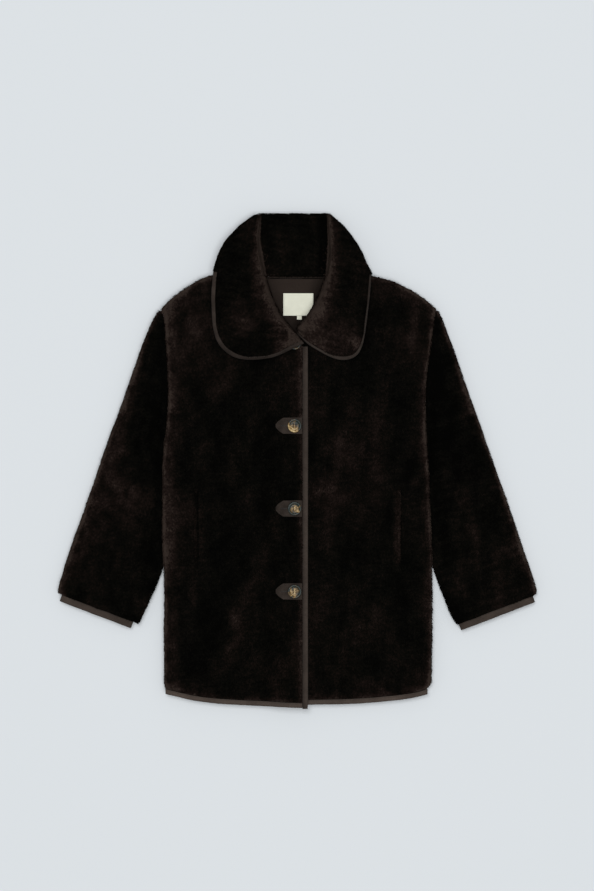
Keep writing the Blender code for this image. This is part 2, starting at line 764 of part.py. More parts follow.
def make_patch(number):
    """A blunt-pointed patch round a buttonhole, raised off the front's own points."""
    centre_y = BUTTON_TOP_Y - BUTTON_PITCH * number
    outline = [(BUTTON_X + x, half) for x, half in PATCH_OUTLINE]
    outline.append((PATCH_RIGHT_END, PATCH_OUTLINE[-1][1]))
    rows = []
    for sign in (1, -1):
        rows.append([(x, centre_y + sign * half, right_front_top(x) + SEAM_GAP) for x, half in outline])
    upper = [[(x, y, z + SUEDE_WALL) for x, y, z in row] for row in rows]
    wall(f"patch_{number}", upper, rows, suede)


# ---- Buttons
def button_shape():
    """A dished four-hole button: its profile is turned, then the holes are cut through."""
    radius = BUTTON_RADIUS * MM
    height = BUTTON_THICKNESS * MM
    profile = (
        # share of the radius, share of the height
        (0.0, 0.66),
        (0.60, 0.68),
        (0.74, 0.96),
        (0.86, 1.0),
        (0.97, 0.80),
        (1.0, 0.50),
        (0.93, 0.18),
        (0.80, 0.0),
        (0.0, 0.0),
    )
    outline = bpy.data.meshes.new("button_profile")
    points = [(radius * across, 0.0, height * up) for across, up in profile]
    outline.from_pydata(points, [(index, index + 1) for index in range(len(points) - 1)], [])
    turned_button = bpy.data.objects.new("button_profile", outline)
    cutters.objects.link(turned_button)
    screw = turned_button.modifiers.new("Turn", "SCREW")
    screw.steps = 28
    screw.render_steps = 28
    screw.use_merge_vertices = True
    screw.merge_threshold = 0.00001
    screw.use_normal_calculate = True

    holes = bmesh.new()
    for x, y in ((1, 1), (-1, 1), (-1, -1), (1, -1)):
        made = bmesh.ops.create_cone(
            holes,
            cap_ends=True,
            segments=8,
            radius1=BUTTON_HOLE_RADIUS * MM,
            radius2=BUTTON_HOLE_RADIUS * MM,
            depth=3 * height,
        )
        shift = (x * BUTTON_HOLE_SPACING * MM, y * BUTTON_HOLE_SPACING * MM, height / 2)
        bmesh.ops.translate(holes, verts=made["verts"], vec=shift)
    hole_mesh = bpy.data.meshes.new("button_holes")
    holes.to_mesh(hole_mesh)
    holes.free()
    cutter = bpy.data.objects.new("button_holes", hole_mesh)
    cutters.objects.link(cutter)
    cut = turned_button.modifiers.new("Holes", "BOOLEAN")
    cut.object = cutter
    cut.solver = "EXACT"

    bpy.context.view_layer.update()
    evaluated = turned_button.evaluated_get(bpy.context.evaluated_depsgraph_get())
    shape = bpy.data.meshes.new_from_object(evaluated)
    bpy.data.objects.remove(turned_button)
    bpy.data.objects.remove(cutter)
    return shape


def make_buttons():
    shape = button_shape()
    on_front = right_front_top(BUTTON_X) + SEAM_GAP
    for number in range(4):
        # the one under the collar has no patch that shows, the others stand on theirs
        height = on_front if number == 0 else on_front + SUEDE_WALL + SEAM_GAP
        button = show(f"button_{number}", shape.copy(), horn)
        button.location = (BUTTON_X * MM, (BUTTON_TOP_Y - BUTTON_PITCH * number) * MM, height * MM)


# ---- Build
for leftover in list(bpy.data.objects):
    bpy.data.objects.remove(leftover)
coat = bpy.data.collections.new("faux_fur_coat")
bpy.context.scene.collection.children.link(coat)
cutters = bpy.data.collections.new("cutters")
bpy.context.scene.collection.children.link(cutters)

fur = finish("dark_brown_fur", (0.012, 0.009, 0.008), 0.9)
tape = finish("brown_tape", (0.036, 0.029, 0.023), 0.8)
suede = finish("brown_suede", (0.030, 0.024, 0.020), 0.9)
satin = finish("cream_satin", (0.60, 0.60, 0.52), 0.6)
horn = finish("horn_plastic", (0.20, 0.13, 0.06), 0.25)

make_back()
make_right_front()
make_left_front()
make_front_binding()
make_sleeve("right")
make_sleeve("left")
make_collar()
make_neck_pieces()
make_pocket_lip("right")
make_pocket_lip("left")
for patch_number in (1, 2, 3):
    make_patch(patch_number)
make_buttons()
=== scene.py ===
import math

import bpy
import numpy as np
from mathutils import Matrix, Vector
from mathutils.bvhtree import BVHTree
from mathutils.kdtree import KDTree


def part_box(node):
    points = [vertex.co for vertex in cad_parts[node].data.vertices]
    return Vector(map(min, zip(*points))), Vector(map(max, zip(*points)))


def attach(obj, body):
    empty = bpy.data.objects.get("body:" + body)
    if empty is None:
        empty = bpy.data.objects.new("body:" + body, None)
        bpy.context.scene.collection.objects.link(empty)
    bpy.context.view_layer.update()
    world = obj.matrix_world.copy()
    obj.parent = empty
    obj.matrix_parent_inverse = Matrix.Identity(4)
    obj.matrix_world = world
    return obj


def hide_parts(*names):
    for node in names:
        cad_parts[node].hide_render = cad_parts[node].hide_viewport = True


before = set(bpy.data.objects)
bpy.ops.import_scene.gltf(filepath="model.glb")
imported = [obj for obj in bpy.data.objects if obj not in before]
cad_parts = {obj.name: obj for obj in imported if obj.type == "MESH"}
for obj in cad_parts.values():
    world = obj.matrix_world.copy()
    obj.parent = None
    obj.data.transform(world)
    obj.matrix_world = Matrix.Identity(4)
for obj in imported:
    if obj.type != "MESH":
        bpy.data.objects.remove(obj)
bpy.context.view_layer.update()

# ---- The view. The coat lies on its back on a pale table and is seen from straight above.
# The camera stands far off with a long lens, so that the coat's sides hardly show.
CAMERA_DISTANCE = 5.0
PICTURE_HEIGHT = 1.6929  # what the picture takes in from top to bottom, at that distance
bpy.ops.object.select_all(action="DESELECT")
bpy.ops.object.camera_add(location=(0.0005, 0.0295, 5.02))
camera = bpy.context.object
camera.data.sensor_fit = "VERTICAL"
camera.data.sensor_height = 24.0
camera.data.lens = camera.data.sensor_height * CAMERA_DISTANCE / PICTURE_HEIGHT
bpy.context.scene.camera = camera
bpy.context.scene.view_settings.view_transform = "Standard"

bpy.ops.mesh.primitive_plane_add(size=40.0)
table = bpy.context.object
table.name = "table"
paper = bpy.data.materials.new("pale_paper")
paper.use_nodes = True
shader = paper.node_tree.nodes["Principled BSDF"]
shader.inputs["Base Color"].default_value = (0.700, 0.736, 0.764, 1.0)
shader.inputs["Roughness"].default_value = 0.95
shader.inputs["Specular IOR Level"].default_value = 0.0
table.data.materials.append(paper)

# two large soft lamps high over the coat, the stronger one past the collar, and even light all round
room = bpy.data.worlds.new("studio")
room.use_nodes = True
room.node_tree.nodes["Background"].inputs["Color"].default_value = (1.0, 1.0, 1.0, 1.0)
room.node_tree.nodes["Background"].inputs["Strength"].default_value = 0.36
bpy.context.scene.world = room
for place, power in (((-1.5, 3.0, 12.0), 620.0), ((2.0, -2.5, 12.0), 505.0)):
    bpy.ops.object.light_add(type="AREA", location=place)
    lamp = bpy.context.object
    lamp.data.shape = "DISK"
    lamp.data.size = 6.0
    lamp.data.energy = power
    lamp.rotation_euler = (-Vector(place)).to_track_quat("-Z", "Y").to_euler()


# ---- The back: one panel of pile fabric from the shoulders to the hem, lying on its pile.
# The fabric is a suede backing with a dense pile, brushed down towards the hem, and its hem is bound with
# folded tape. The backing is the panel's solid, drawn in by as much as single tufts then fill.
PILE_DEPTH = 0.0026  # how far the backing is drawn in under the pile
RIM_DEPTH = 0.0007  # at a panel's side, where the pile lies along the edge
PRESSED_DEPTH = 0.0012  # on the side that the coat lies on
PILE_LENGTH = 0.0060
TUFT_WIDTH = 0.0018
LEAN = 66.0  # how far from upright a tuft leans on top of a panel, in degrees
NAP_AT_REST = 0.09  # how open the nap is everywhere
NAP_SWELL = 0.08  # and how much more or less in wide soft places
NAP_RIPPLE = 0.10  # in short rows across it
SLOPE_SHEEN = 0.25  # and painted sheen on a steep side, where the pile turns away
DARK_PILE = (0.0008, 0.0008, 0.0006)
DULL_PILE = (0.0028, 0.0026, 0.0019)
BROWN_PILE = (0.0066, 0.0043, 0.0034)
RUSSET_PILE = (0.0142, 0.0090, 0.0075)
OPEN_AND_SHEEN_PILE = (0.0340, 0.0245, 0.0200)  # where the nap stands open and shows the fibres' sides, and the painted sheen on rims and rolls
TAPE_COLOUR = (0.0310, 0.0240, 0.0200)


def only(piece):
    bpy.ops.object.select_all(action="DESELECT")
    piece.select_set(True)
    bpy.context.view_layer.objects.active = piece


def copied(name, node, firmness=0.85):
    """A copy of a solid's mesh, its loose triangles joined to a grid of faces with firm edges."""
    piece = bpy.data.objects.new(name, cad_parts[node].data.copy())
    piece.data.materials.clear()
    bpy.context.collection.objects.link(piece)
    only(piece)
    bpy.ops.object.mode_set(mode="EDIT")
    bpy.ops.mesh.select_mode(type="EDGE")
    bpy.ops.mesh.select_all(action="SELECT")
    bpy.ops.mesh.remove_doubles(threshold=0.00005)
    bpy.ops.mesh.tris_convert_to_quads(face_threshold=math.radians(60), shape_threshold=math.radians(60))
    bpy.ops.mesh.select_all(action="DESELECT")
    bpy.ops.mesh.edges_select_sharp(sharpness=math.radians(40))
    bpy.ops.transform.edge_crease(value=firmness)
    bpy.ops.object.mode_set(mode="OBJECT")
    return piece


def rounded(piece, levels):
    only(piece)
    rounding = piece.modifiers.new("Rounding", "SUBSURF")
    rounding.levels = levels
    rounding.render_levels = levels
    bpy.ops.object.modifier_apply(modifier=rounding.name)
    bpy.ops.object.shade_smooth()


def points_of(mesh):
    points = np.empty(len(mesh.vertices) * 3)
    mesh.vertices.foreach_get("co", points)
    return points.reshape(-1, 3)


def normals_of(mesh):
    normals = np.empty(len(mesh.vertices) * 3)
    mesh.vertex_normals.foreach_get("vector", normals)
    return normals.reshape(-1, 3)


def moved(piece, points):
    piece.data.vertices.foreach_set("co", np.ascontiguousarray(points).ravel())
    piece.data.update()


def marked(mesh, name, values):
    mesh.attributes.new(name, "FLOAT", "POINT").data.foreach_set("value", values)


def waves(points, shortest, longest, seed):
    """A smooth random field from -1 to 1, the sum of waves in many directions."""
    chance = np.random.default_rng(seed)
    field = np.zeros(len(points))
    for _ in range(14):
        heading = chance.normal(size=3)
        heading /= np.linalg.norm(heading)
        wavelength = chance.uniform(shortest, longest)
        field += np.sin(points @ heading * 2 * math.pi / wavelength + chance.uniform(0, 2 * math.pi))
    return np.clip(field / 4.5, -1.0, 1.0)


def surface_of(piece):
    mesh = piece.data
    return BVHTree.FromPolygons(points_of(mesh).tolist(), [list(face.vertices) for face in mesh.polygons])


def brushing(points, seed):
    """Where the nap lifts and falls: in short rows across it, and in wide soft places."""
    return waves(points * (0.45, 1.0, 1.0), 0.006, 0.018, seed + 2), waves(points, 0.03, 0.10, seed + 3)


def brown_and_sheen(points, up, sheen, seed):
    """How far the nap opens and shows brown, from 0 to about 1, with painted sheen on a steep side and where
    sheen paints it.
    """
    ripple, swell = brushing(points, seed)
    steep = np.interp(up[:, 2], (0.2, 0.9), (1.0, 0.0))
    opened = NAP_AT_REST + NAP_SWELL * swell + NAP_RIPPLE * ripple + SLOPE_SHEEN * steep
    return opened + (sheen(points) if sheen else 0.0)


def backing(name, node, seed, sheen=None, lined=False):
    """The backing of a panel. The lining side of a folded one, which faces itself, keeps its place."""
    panel = copied(name, node)
    rounded(panel, 2)
    points = points_of(panel.data)
    normals = normals_of(panel.data)
    lining = np.zeros(len(points))
    if lined:
        skin = surface_of(panel)
        for index, (point, normal) in enumerate(zip(points, normals)):
            facing = Vector(normal)
            if skin.ray_cast(Vector(point) + facing * 0.0001, facing, 0.003)[0]:
                lining[index] = 1.0
    marked(panel.data, "lining", lining)
    marked(panel.data, "along", np.full(len(points), 0.4))
    marked(panel.data, "nap_and_sheen", brown_and_sheen(points, normals, sheen, seed))
    depths = (PRESSED_DEPTH, RIM_DEPTH, RIM_DEPTH, PILE_DEPTH)
    depth = np.interp(normals[:, 2], (-0.8, -0.4, 0.4, 0.8), depths)
    depth += 0.0004 * waves(points, 0.012, 0.05, 3)
    moved(panel, points - normals * (depth * (1.0 - lining))[:, None])
    return panel


def pile(name, panel, tufts, nap, seed, sheen=None, shorn=None, over=1.0, under=1.0):
    """Thin tufts over a panel, each a bent blade of three triangles that leans with the nap.

    nap gives the brushed direction at each root, sheen how open the nap is there with its painted sheen and
    shade, shorn how much shorter the tuft is, over and under how dense the tufts are on the upper and the
    lower side.
    """
    chance = np.random.default_rng(seed)
    mesh = panel.data
    mesh.calc_loop_triangles()
    corners = np.empty(len(mesh.loop_triangles) * 3, dtype=np.int64)
    mesh.loop_triangles.foreach_get("vertices", corners)
    corners = corners.reshape(-1, 3)
    lining = np.empty(len(mesh.vertices))
    mesh.attributes["lining"].data.foreach_get("value", lining)
    normals = normals_of(mesh)
    faces = points_of(mesh)[corners]
    weight = np.linalg.norm(np.cross(faces[:, 1] - faces[:, 0], faces[:, 2] - faces[:, 0]), axis=1)
    weight *= np.interp(normals[corners].mean(axis=1)[:, 2], (-0.7, -0.5, 0.5, 0.7), (under, 1.0, 1.0, over))
    weight *= lining[corners].max(axis=1) < 0.5
    chosen = chance.choice(len(corners), size=tufts, p=weight / weight.sum())
    share = chance.dirichlet((1.0, 1.0, 1.0), size=tufts)
    roots = (faces[chosen] * share[:, :, None]).sum(axis=1)
    up = (normals[corners[chosen]] * share[:, :, None]).sum(axis=1)
    up /= np.linalg.norm(up, axis=1)[:, None]

    turn = 0.40 * waves(roots, 0.04, 0.13, seed + 1) + chance.normal(0.0, 0.16, tufts)
    ripple, swell = brushing(roots, seed)
    brushed = nap(roots)
    brushed = brushed - up * (brushed * up).sum(axis=1)[:, None]
    brushed /= np.linalg.norm(brushed, axis=1)[:, None] + 1e-9
    across = np.cross(up, brushed)
    brushed = brushed * np.cos(turn)[:, None] + across * np.sin(turn)[:, None]
    across = np.cross(up, brushed)
    tilt = np.interp(up[:, 2], (-0.8, -0.4, 0.4, 0.8), (84.0, 80.0, 79.0, LEAN))
    tilt = np.radians(tilt + 6.0 * ripple + 5.0 * swell + chance.normal(0.0, 4.0, tufts))
    tall = PILE_LENGTH * chance.uniform(0.75, 1.1, tufts)
    if shorn:
        tall *= 1.0 - np.clip(shorn(roots), 0.0, 0.8)
    lower = up * np.cos(0.7 * tilt)[:, None] + brushed * np.sin(0.7 * tilt)[:, None]
    upper = up * np.cos(1.15 * tilt)[:, None] + brushed * np.sin(1.15 * tilt)[:, None]
    middle = roots + lower * (0.5 * tall)[:, None]
    tips = middle + upper * (0.5 * tall)[:, None]
    wide = (TUFT_WIDTH * chance.uniform(0.7, 1.2, tufts))[:, None] * across / 2
    blades = np.stack((roots + wide, roots - wide, middle - 0.75 * wide, middle + 0.75 * wide, tips), axis=1)
    blades[:, :, 2] = np.maximum(blades[:, :, 2], 0.0)

    first = np.arange(tufts) * 5
    quads = first[:, None] + np.array((0, 1, 2, 3))
    ends = first[:, None] + np.array((3, 2, 4))
    loops = np.concatenate((quads.ravel(), ends.ravel()))
    mesh = bpy.data.meshes.new(name)
    mesh.vertices.add(tufts * 5)
    mesh.vertices.foreach_set("co", blades.ravel())
    mesh.loops.add(len(loops))
    mesh.loops.foreach_set("vertex_index", loops)
    mesh.polygons.add(tufts * 2)
    starts = np.concatenate((np.arange(tufts) * 4, tufts * 4 + np.arange(tufts) * 3))
    mesh.polygons.foreach_set("loop_start", starts)
    mesh.update(calc_edges=True)
    mesh.shade_smooth()
    # the light falls on a tuft much as on the pile as a whole, and on a steep side from above on its tips
    shown = 0.9 * up + 0.16 * np.cross(upper, across) + chance.normal(0.0, 0.05, (tufts, 3))
    shown[:, 2] += 0.5 * (1.0 - abs(up[:, 2]))
    shown /= np.linalg.norm(shown, axis=1)[:, None]
    mesh.normals_split_custom_set_from_vertices(np.repeat(shown, 5, axis=0).tolist())
    marked(mesh, "along", np.tile((0.0, 0.0, 0.5, 0.5, 1.0), tufts))
    marked(mesh, "nap_and_sheen", np.repeat(brown_and_sheen(roots, up, sheen, seed), 5))
    flat = mesh.uv_layers.new(name="OFBake")
    places = blades.reshape(-1, 3)[loops][:, :2]
    places = (places - places.min(axis=0)) / np.ptp(places, axis=0).max()
    flat.data.foreach_set("uv", (places * 0.98 + 0.01).ravel())
    piece = bpy.data.objects.new(name, mesh)
    bpy.context.collection.objects.link(piece)
    return piece


def wired(material, kind, **values):
    """A node of a material with its settings."""
    node = material.node_tree.nodes.new(kind)
    for key, value in values.items():
        if key in node.bl_rna.properties:
            setattr(node, key, value)
        else:
            node.inputs[key.replace("_", " ")].default_value = value
    return node


def joined(material, *ends):
    """Links in turn from an output to an input, each given as node and socket."""
    for (source, output), (target, socket) in zip(ends[::2], ends[1::2]):
        material.node_tree.links.new(source.outputs[output], target.inputs[socket])


def ramped(material, *stops):
    """A colour ramp through the given places and colours."""
    ramp = wired(material, "ShaderNodeValToRGB")
    elements = ramp.color_ramp.elements
    for place, _ in stops[1:-1]:
        elements.new(place)
    for element, (place, colour) in zip(elements, stops):
        element.position = place
        element.color = (*colour, 1.0)
    return ramp


def new_finish(name, roughness, specular):
    material = bpy.data.materials.new(name)
    material.use_nodes = True
    shader = material.node_tree.nodes["Principled BSDF"]
    shader.inputs["Roughness"].default_value = roughness
    shader.inputs["Specular IOR Level"].default_value = specular
    return material, shader, wired(material, "ShaderNodeTexCoord")


def pile_finish(name):
    """Matt fibres, near black where the nap lies close and brown where it opens or lifts, lightest under
    painted sheen.
    """
    material, shader, place = new_finish(name, 0.8, 0.015)
    stretched = wired(material, "ShaderNodeMapping", Scale=(1.0, 0.45, 1.0))
    patches = wired(material, "ShaderNodeTexNoise", Scale=21.0, Detail=4.0, Roughness=0.6)
    flecks = wired(material, "ShaderNodeTexNoise", Scale=230.0, Detail=3.0, Roughness=0.65)
    joined(material, (place, "Object"), (stretched, "Vector"), (stretched, 0), (patches, "Vector"))
    joined(material, (place, "Object"), (flecks, "Vector"))
    patch = wired(material, "ShaderNodeMapRange", From_Min=0.38, From_Max=0.70, To_Max=0.46)
    joined(material, (patches, "Fac"), (patch, "Value"))
    # the nap's own tone together with the painted sheen and shade marked on each piece
    nap_and_sheen = wired(material, "ShaderNodeAttribute", attribute_name="nap_and_sheen")
    raised = wired(material, "ShaderNodeMath", operation="ADD")
    joined(material, (patch, "Result"), (raised, 0), (nap_and_sheen, "Fac"), (raised, 1))
    along = wired(material, "ShaderNodeAttribute", attribute_name="along")
    reach = wired(material, "ShaderNodeMapRange", To_Min=0.65, To_Max=1.1)
    fleck = wired(material, "ShaderNodeMapRange", From_Min=0.3, From_Max=0.7, To_Min=-0.20, To_Max=0.22)
    joined(material, (along, "Fac"), (reach, "Value"), (flecks, "Fac"), (fleck, "Value"))
    shown = wired(material, "ShaderNodeMath", operation="MULTIPLY")
    joined(material, (raised, 0), (shown, 0), (reach, 0), (shown, 1))
    broken = wired(material, "ShaderNodeMath", operation="ADD", use_clamp=True)
    joined(material, (shown, 0), (broken, 0), (fleck, 0), (broken, 1))
    shades = ((0.0, DARK_PILE), (0.3, DULL_PILE), (0.5, BROWN_PILE), (0.74, RUSSET_PILE), (1.0, OPEN_AND_SHEEN_PILE))
    colour = ramped(material, *shades)
    joined(material, (broken, 0), (colour, 0), (colour, 0), (shader, "Base Color"))
    shader.inputs["Sheen Weight"].default_value = 0.02
    shader.inputs["Sheen Roughness"].default_value = 0.4
    shader.inputs["Sheen Tint"].default_value = (0.55, 0.40, 0.33, 1.0)
    return material


def suede_finish(name, colour, uneven=0.25):
    """Matt brushed cloth with a short nap, uneven from place to place, and lighter and darker as each piece
    marks it: its tone, and painted highlight and shade.
    """
    material, shader, place = new_finish(name, 0.95, 0.04)
    brushed = wired(material, "ShaderNodeTexNoise", Scale=420.0, Detail=4.0, Roughness=0.7)
    tone_and_sheen = wired(material, "ShaderNodeTexNoise", Scale=38.0, Detail=3.0, Roughness=0.6)
    joined(material, (place, "Object"), (brushed, "Vector"), (place, "Object"), (tone_and_sheen, "Vector"))
    both = wired(material, "ShaderNodeMath", operation="ADD")
    joined(material, (brushed, "Fac"), (both, 0), (tone_and_sheen, "Fac"), (both, 1))
    shade = wired(material, "ShaderNodeMapRange", From_Min=0.7, From_Max=1.3)
    shade.inputs["To Min"].default_value = 1.0 - uneven
    shade.inputs["To Max"].default_value = 1.0 + uneven
    tone_and_shading = wired(material, "ShaderNodeAttribute", attribute_name="tone_and_shading")
    shown = wired(material, "ShaderNodeMath", operation="MULTIPLY")
    joined(material, (both, 0), (shade, "Value"), (shade, 0), (shown, 0), (tone_and_shading, "Fac"), (shown, 1))
    tinted = wired(material, "ShaderNodeVectorMath", operation="SCALE")
    tinted.inputs[0].default_value = colour
    joined(material, (shown, 0), (tinted, "Scale"), (tinted, 0), (shader, "Base Color"))
    relief = wired(material, "ShaderNodeBump", Strength=0.35, Distance=0.0004)
    joined(material, (brushed, "Fac"), (relief, "Height"), (relief, "Normal"), (shader, "Normal"))
    shader.inputs["Sheen Weight"].default_value = 0.03
    shader.inputs["Sheen Roughness"].default_value = 0.5
    return material


def dressed(piece, material, slot, *nodes):
    """Give a piece its material, and let it ride on the coat in place of its solids."""
    piece.data.materials.clear()
    piece.data.materials.append(material)
    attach(piece, "root")
    if nodes:
        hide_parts(*nodes)
    return piece


def bound(place, tone_and_shading):
    """A folded tape on a raw edge, a little uneven from the hand that sewed it.

    the second argument gives from the points how much lighter the tape is, for its tone and, on the front, a
    painted highlight.
    """
    binding = copied(f"{place}_tape", f"binding_{place}", firmness=0.97)
    rounded(binding, 2)
    points = points_of(binding.data)
    marked(binding.data, "tone_and_shading", tone_and_shading(points) * (1.0 + 0.12 * waves(points, 0.006, 0.04, 6)))
    moved(binding, points + normals_of(binding.data) * (0.00025 * waves(points, 0.010, 0.045, 5))[:, None])
    return dressed(binding, tape, "tape", f"binding_{place}")


def hem_tape_lightness(points):
    return np.full(len(points), 2.0)


def down_the_body(roots):
    return np.tile((0.0, -1.0, 0.0), (len(roots), 1))


fur = pile_finish("brown_fur_pile")
tape = suede_finish("suede_binding", TAPE_COLOUR)
back = dressed(backing("back_panel", "back", 11), fur, "fur", "back")
back_pile = dressed(pile("back_pile", back, 10000, down_the_body, 11, over=0.0), fur, "fur")
back_hem = bound("hem_back", hem_tape_lightness)

# ---- The two fronts, laid over the back, the wearer's right one on top at the buttons.
# Both are cut from the same pile fabric with their pile down to the hem. The hems are bound, and so is the
# edge that laps over, all stitched down along the tape's inner side in matching thread.
STITCH_PITCH = 0.0034
STITCH_INSET = 0.0017
STITCH_LENGTH = 0.0016
STITCH_RADIUS = 0.00026
STITCH_ENDS = ((0.0004, -0.00012),)  # each end goes outwards and down
HEM_TAPE_END = 0.0098  # from this x on the hem's tape is tucked into the front's
HEM_TAPE_TUCK = 0.0007
RIM_SHEEN = {
    # along which sides of a front sheen is painted on the nap: the heading they face, how much, how far in
    "right": (((-1, 0), 0.36, 0.004), ((-1, 0), 0.42, 0.025), ((0, 1), 0.35, 0.004), ((0, 1), 0.22, 0.014),
              ((0, -1), 0.45, 0.008), ((1, 0), 0.38, 0.008)),
    "left": (((1, 0), 0.38, 0.004), ((1, 0), 0.24, 0.012), ((0, 1), 0.35, 0.004), ((0, 1), 0.22, 0.014),
             ((0, -1), 0.50, 0.010)),
}
SHEEN_PLACES = {
    # where the nap of a front is lighter, partly its own tone and partly painted sheen, and darker with
    # painted
    # shade where it is less than 0: x, y, half its width and height, its turn in degrees, how much
    "right": ((-236, 235, 18, 38, 0, 0.33), (-193, 274, 36, 26, 0, 0.27), (-175, 205, 56, 62, 0, 0.15),
              (-117, 30, 60, 85, 0, -0.18), (-89, -249, 13, 85, -34, 0.24), (-57, -375, 52, 38, -30, 0.30),
              (-212, -424, 36, 20, 0, 0.24), (-155, -290, 36, 45, 0, -0.13), (-34, 80, 22, 60, 0, 0.12)),
    "left": ((177, 312, 32, 24, 0, 0.27), (221, 235, 12, 34, 0, 0.36), (222, 190, 40, 88, 0, 0.27),
             (243, 35, 14, 78, 0, 0.30), (92, 46, 46, 76, 0, 0.18), (58, -55, 36, 17, 0, 0.27),
             (55, -150, 15, 26, 0, 0.18), (111, -165, 50, 60, 0, -0.18), (222, -36, 8, 30, -40, 0.24),
             (110, -320, 60, 32, 0, 0.12), (73, -369, 15, 52, -35, 0.18), (149, -425, 34, 15, 0, 0.27),
             (206, -410, 15, 15, 0, 0.18), (206, -283, 18, 80, 0, -0.12)),
}


def enclosed(solid, face):
    """Whether the same solid lies over and under a face, as at the inner crease of a folded sleeve."""
    start = face.center + 0.0001 * face.normal
    return all(solid.ray_cast(start, Vector((0.0, 0.0, way)))[0] for way in (-1.0, 1.0))


def rim_bands(node, *rims):
    """A function of points: bands along a panel's outline as seen from above, for painted sheen and shade,
    and for shorter tufts.
    """
    solid = surface_of(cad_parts[node])
    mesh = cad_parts[node].data
    outlines = []
    for heading, strength, reach in rims:
        heading = Vector((*heading, 0.0)).normalized()
        sides = [face for face in mesh.polygons if face.normal.dot(heading) > 0.6]
        edges = {key for face in sides if not enclosed(solid, face) for key in face.edge_keys}
        places = []
        for start, end in edges:
            start, end = (mesh.vertices[corner].co for corner in (start, end))
            for share in np.linspace(0.0, 1.0, 2 + int((end - start).length / 0.0015)):
                places.append(start.lerp(end, share))
        outline = KDTree(len(places))
        for place in places:
            outline.insert((place.x, place.y, 0.0), 0)
        outline.balance()
        outlines.append((outline, strength, reach))

    def sheen(points):
        uneven = 1.0 + 0.35 * waves(points, 0.012, 0.05, 7)
        tone_and_sheen = np.zeros(len(points))
        for outline, strength, reach in outlines:
            away = np.array([outline.find((x, y, 0.0))[2] for x, y in points[:, :2]])
            tone_and_sheen += strength * np.exp(-((away / reach) ** 2))
        return tone_and_sheen * uneven

    return sheen


def sheen_at(points, places):
    """How much lighter the nap is painted at given places, each a soft uneven oval: partly its own tone,
    partly painted sheen, and painted shade where less than 0.
    """
    wander = np.stack((waves(points, 0.02, 0.07, 51), waves(points, 0.02, 0.07, 52)), axis=1)
    tone_and_sheen = np.zeros(len(points))
    for x, y, half_width, half_height, turn, strength in places:
        turn = math.radians(turn)
        axes = ((math.cos(turn), -math.sin(turn)), (math.sin(turn), math.cos(turn)))
        away = (points[:, :2] * 1000 - (x, y)) @ axes
        away = away / (half_width, half_height) + 0.35 * wander
        tone_and_sheen += strength * np.exp(-(away**2).sum(axis=1))
    return tone_and_sheen


def repeated(name, shape, places):
    """One mesh of many copies of a small shape, each turned to its own three axes."""
    points = points_of(shape.data)
    faces = [list(face.vertices) for face in shape.data.polygons]
    every = np.concatenate([place + points @ np.array(axes) for place, axes in places])
    firsts = [copy * len(points) for copy in range(len(places))]
    rings = [[corner + first for corner in ring] for first in firsts for ring in faces]
    mesh = bpy.data.meshes.new(name)
    mesh.from_pydata(every.tolist(), [], rings)
    mesh.shade_smooth()
    piece = bpy.data.objects.new(name, mesh)
    bpy.context.collection.objects.link(piece)
    return piece


def thread_shape(axis, radius, length, ends, taper=None):
    """A short round thread along X or Y, both ends drawn outwards and down, and thinner if they taper."""
    bpy.ops.object.select_all(action="DESELECT")
    turn = ((0.0, math.pi / 2, 0.0), (math.pi / 2, 0.0, 0.0))[axis]
    bpy.ops.mesh.primitive_cylinder_add(vertices=6, radius=radius, depth=length, rotation=turn)
    shape = bpy.context.object
    bpy.ops.object.transform_apply(location=False, rotation=True, scale=False)
    bpy.ops.object.mode_set(mode="EDIT")
    bpy.ops.mesh.select_mode(type="FACE")
    for way in (-1, 1):
        bpy.ops.mesh.select_all(action="DESELECT")
        bpy.ops.object.mode_set(mode="OBJECT")
        for face in shape.data.polygons:
            face.select = face.normal[axis] * way > 0.9
        bpy.ops.object.mode_set(mode="EDIT")
        for out, down in ends:
            step = [0.0, 0.0, down]
            step[axis] = out * way
            bpy.ops.mesh.extrude_region_move(TRANSFORM_OT_translate={"value": step})
        if taper:
            bpy.ops.transform.resize(value=(1.0, taper, taper))
    bpy.ops.object.mode_set(mode="OBJECT")
    return shape


def stitched(name, cloth, rows, thread):
    """Rows of machine stitches on a piece of cloth.

    A row is a list of starts, each with its heading: the cloth's edge is felt for from there, from above,
    and the stitches run at their inset behind it.
    """
    shape = thread_shape(0, STITCH_RADIUS, STITCH_LENGTH, STITCH_ENDS, taper=0.5)
    skin = surface_of(cloth)
    down = Vector((0.0, 0.0, -1.0))
    step = 0.0004
    places = []
    for row in rows:
        line = []
        for start, heading, reach in row:
            start, heading = Vector((*start, 0.1)), Vector((*heading, 0.0))
            for count in range(int(reach / step)):
                if skin.ray_cast(start + heading * (count * step), down)[0]:
                    spot = skin.ray_cast(start + heading * (count * step + STITCH_INSET), down)[0]
                    if spot:
                        line.append(spot)
                    break
        line = np.array(line)
        length = np.concatenate(((0.0,), np.cumsum(np.linalg.norm(np.diff(line, axis=0), axis=1))))
        for begin in np.arange(0.0, length[-1] - STITCH_PITCH, STITCH_PITCH):
            here, there = (
                np.array([np.interp(begin + part * STITCH_PITCH, length, line[:, axis]) for axis in range(3)])
                for part in (0.0, 0.8)
            )
            run = (there - here) / np.linalg.norm(there - here)
            side = np.cross((0.0, 0.0, 1.0), run)
            side /= np.linalg.norm(side)
            places.append(((here + there) / 2 + (0.0, 0.0, 0.00012), (run, side, np.cross(run, side))))
    piece = dressed(repeated(name, shape, places), thread, "tape")
    bpy.data.objects.remove(shape)
    return piece


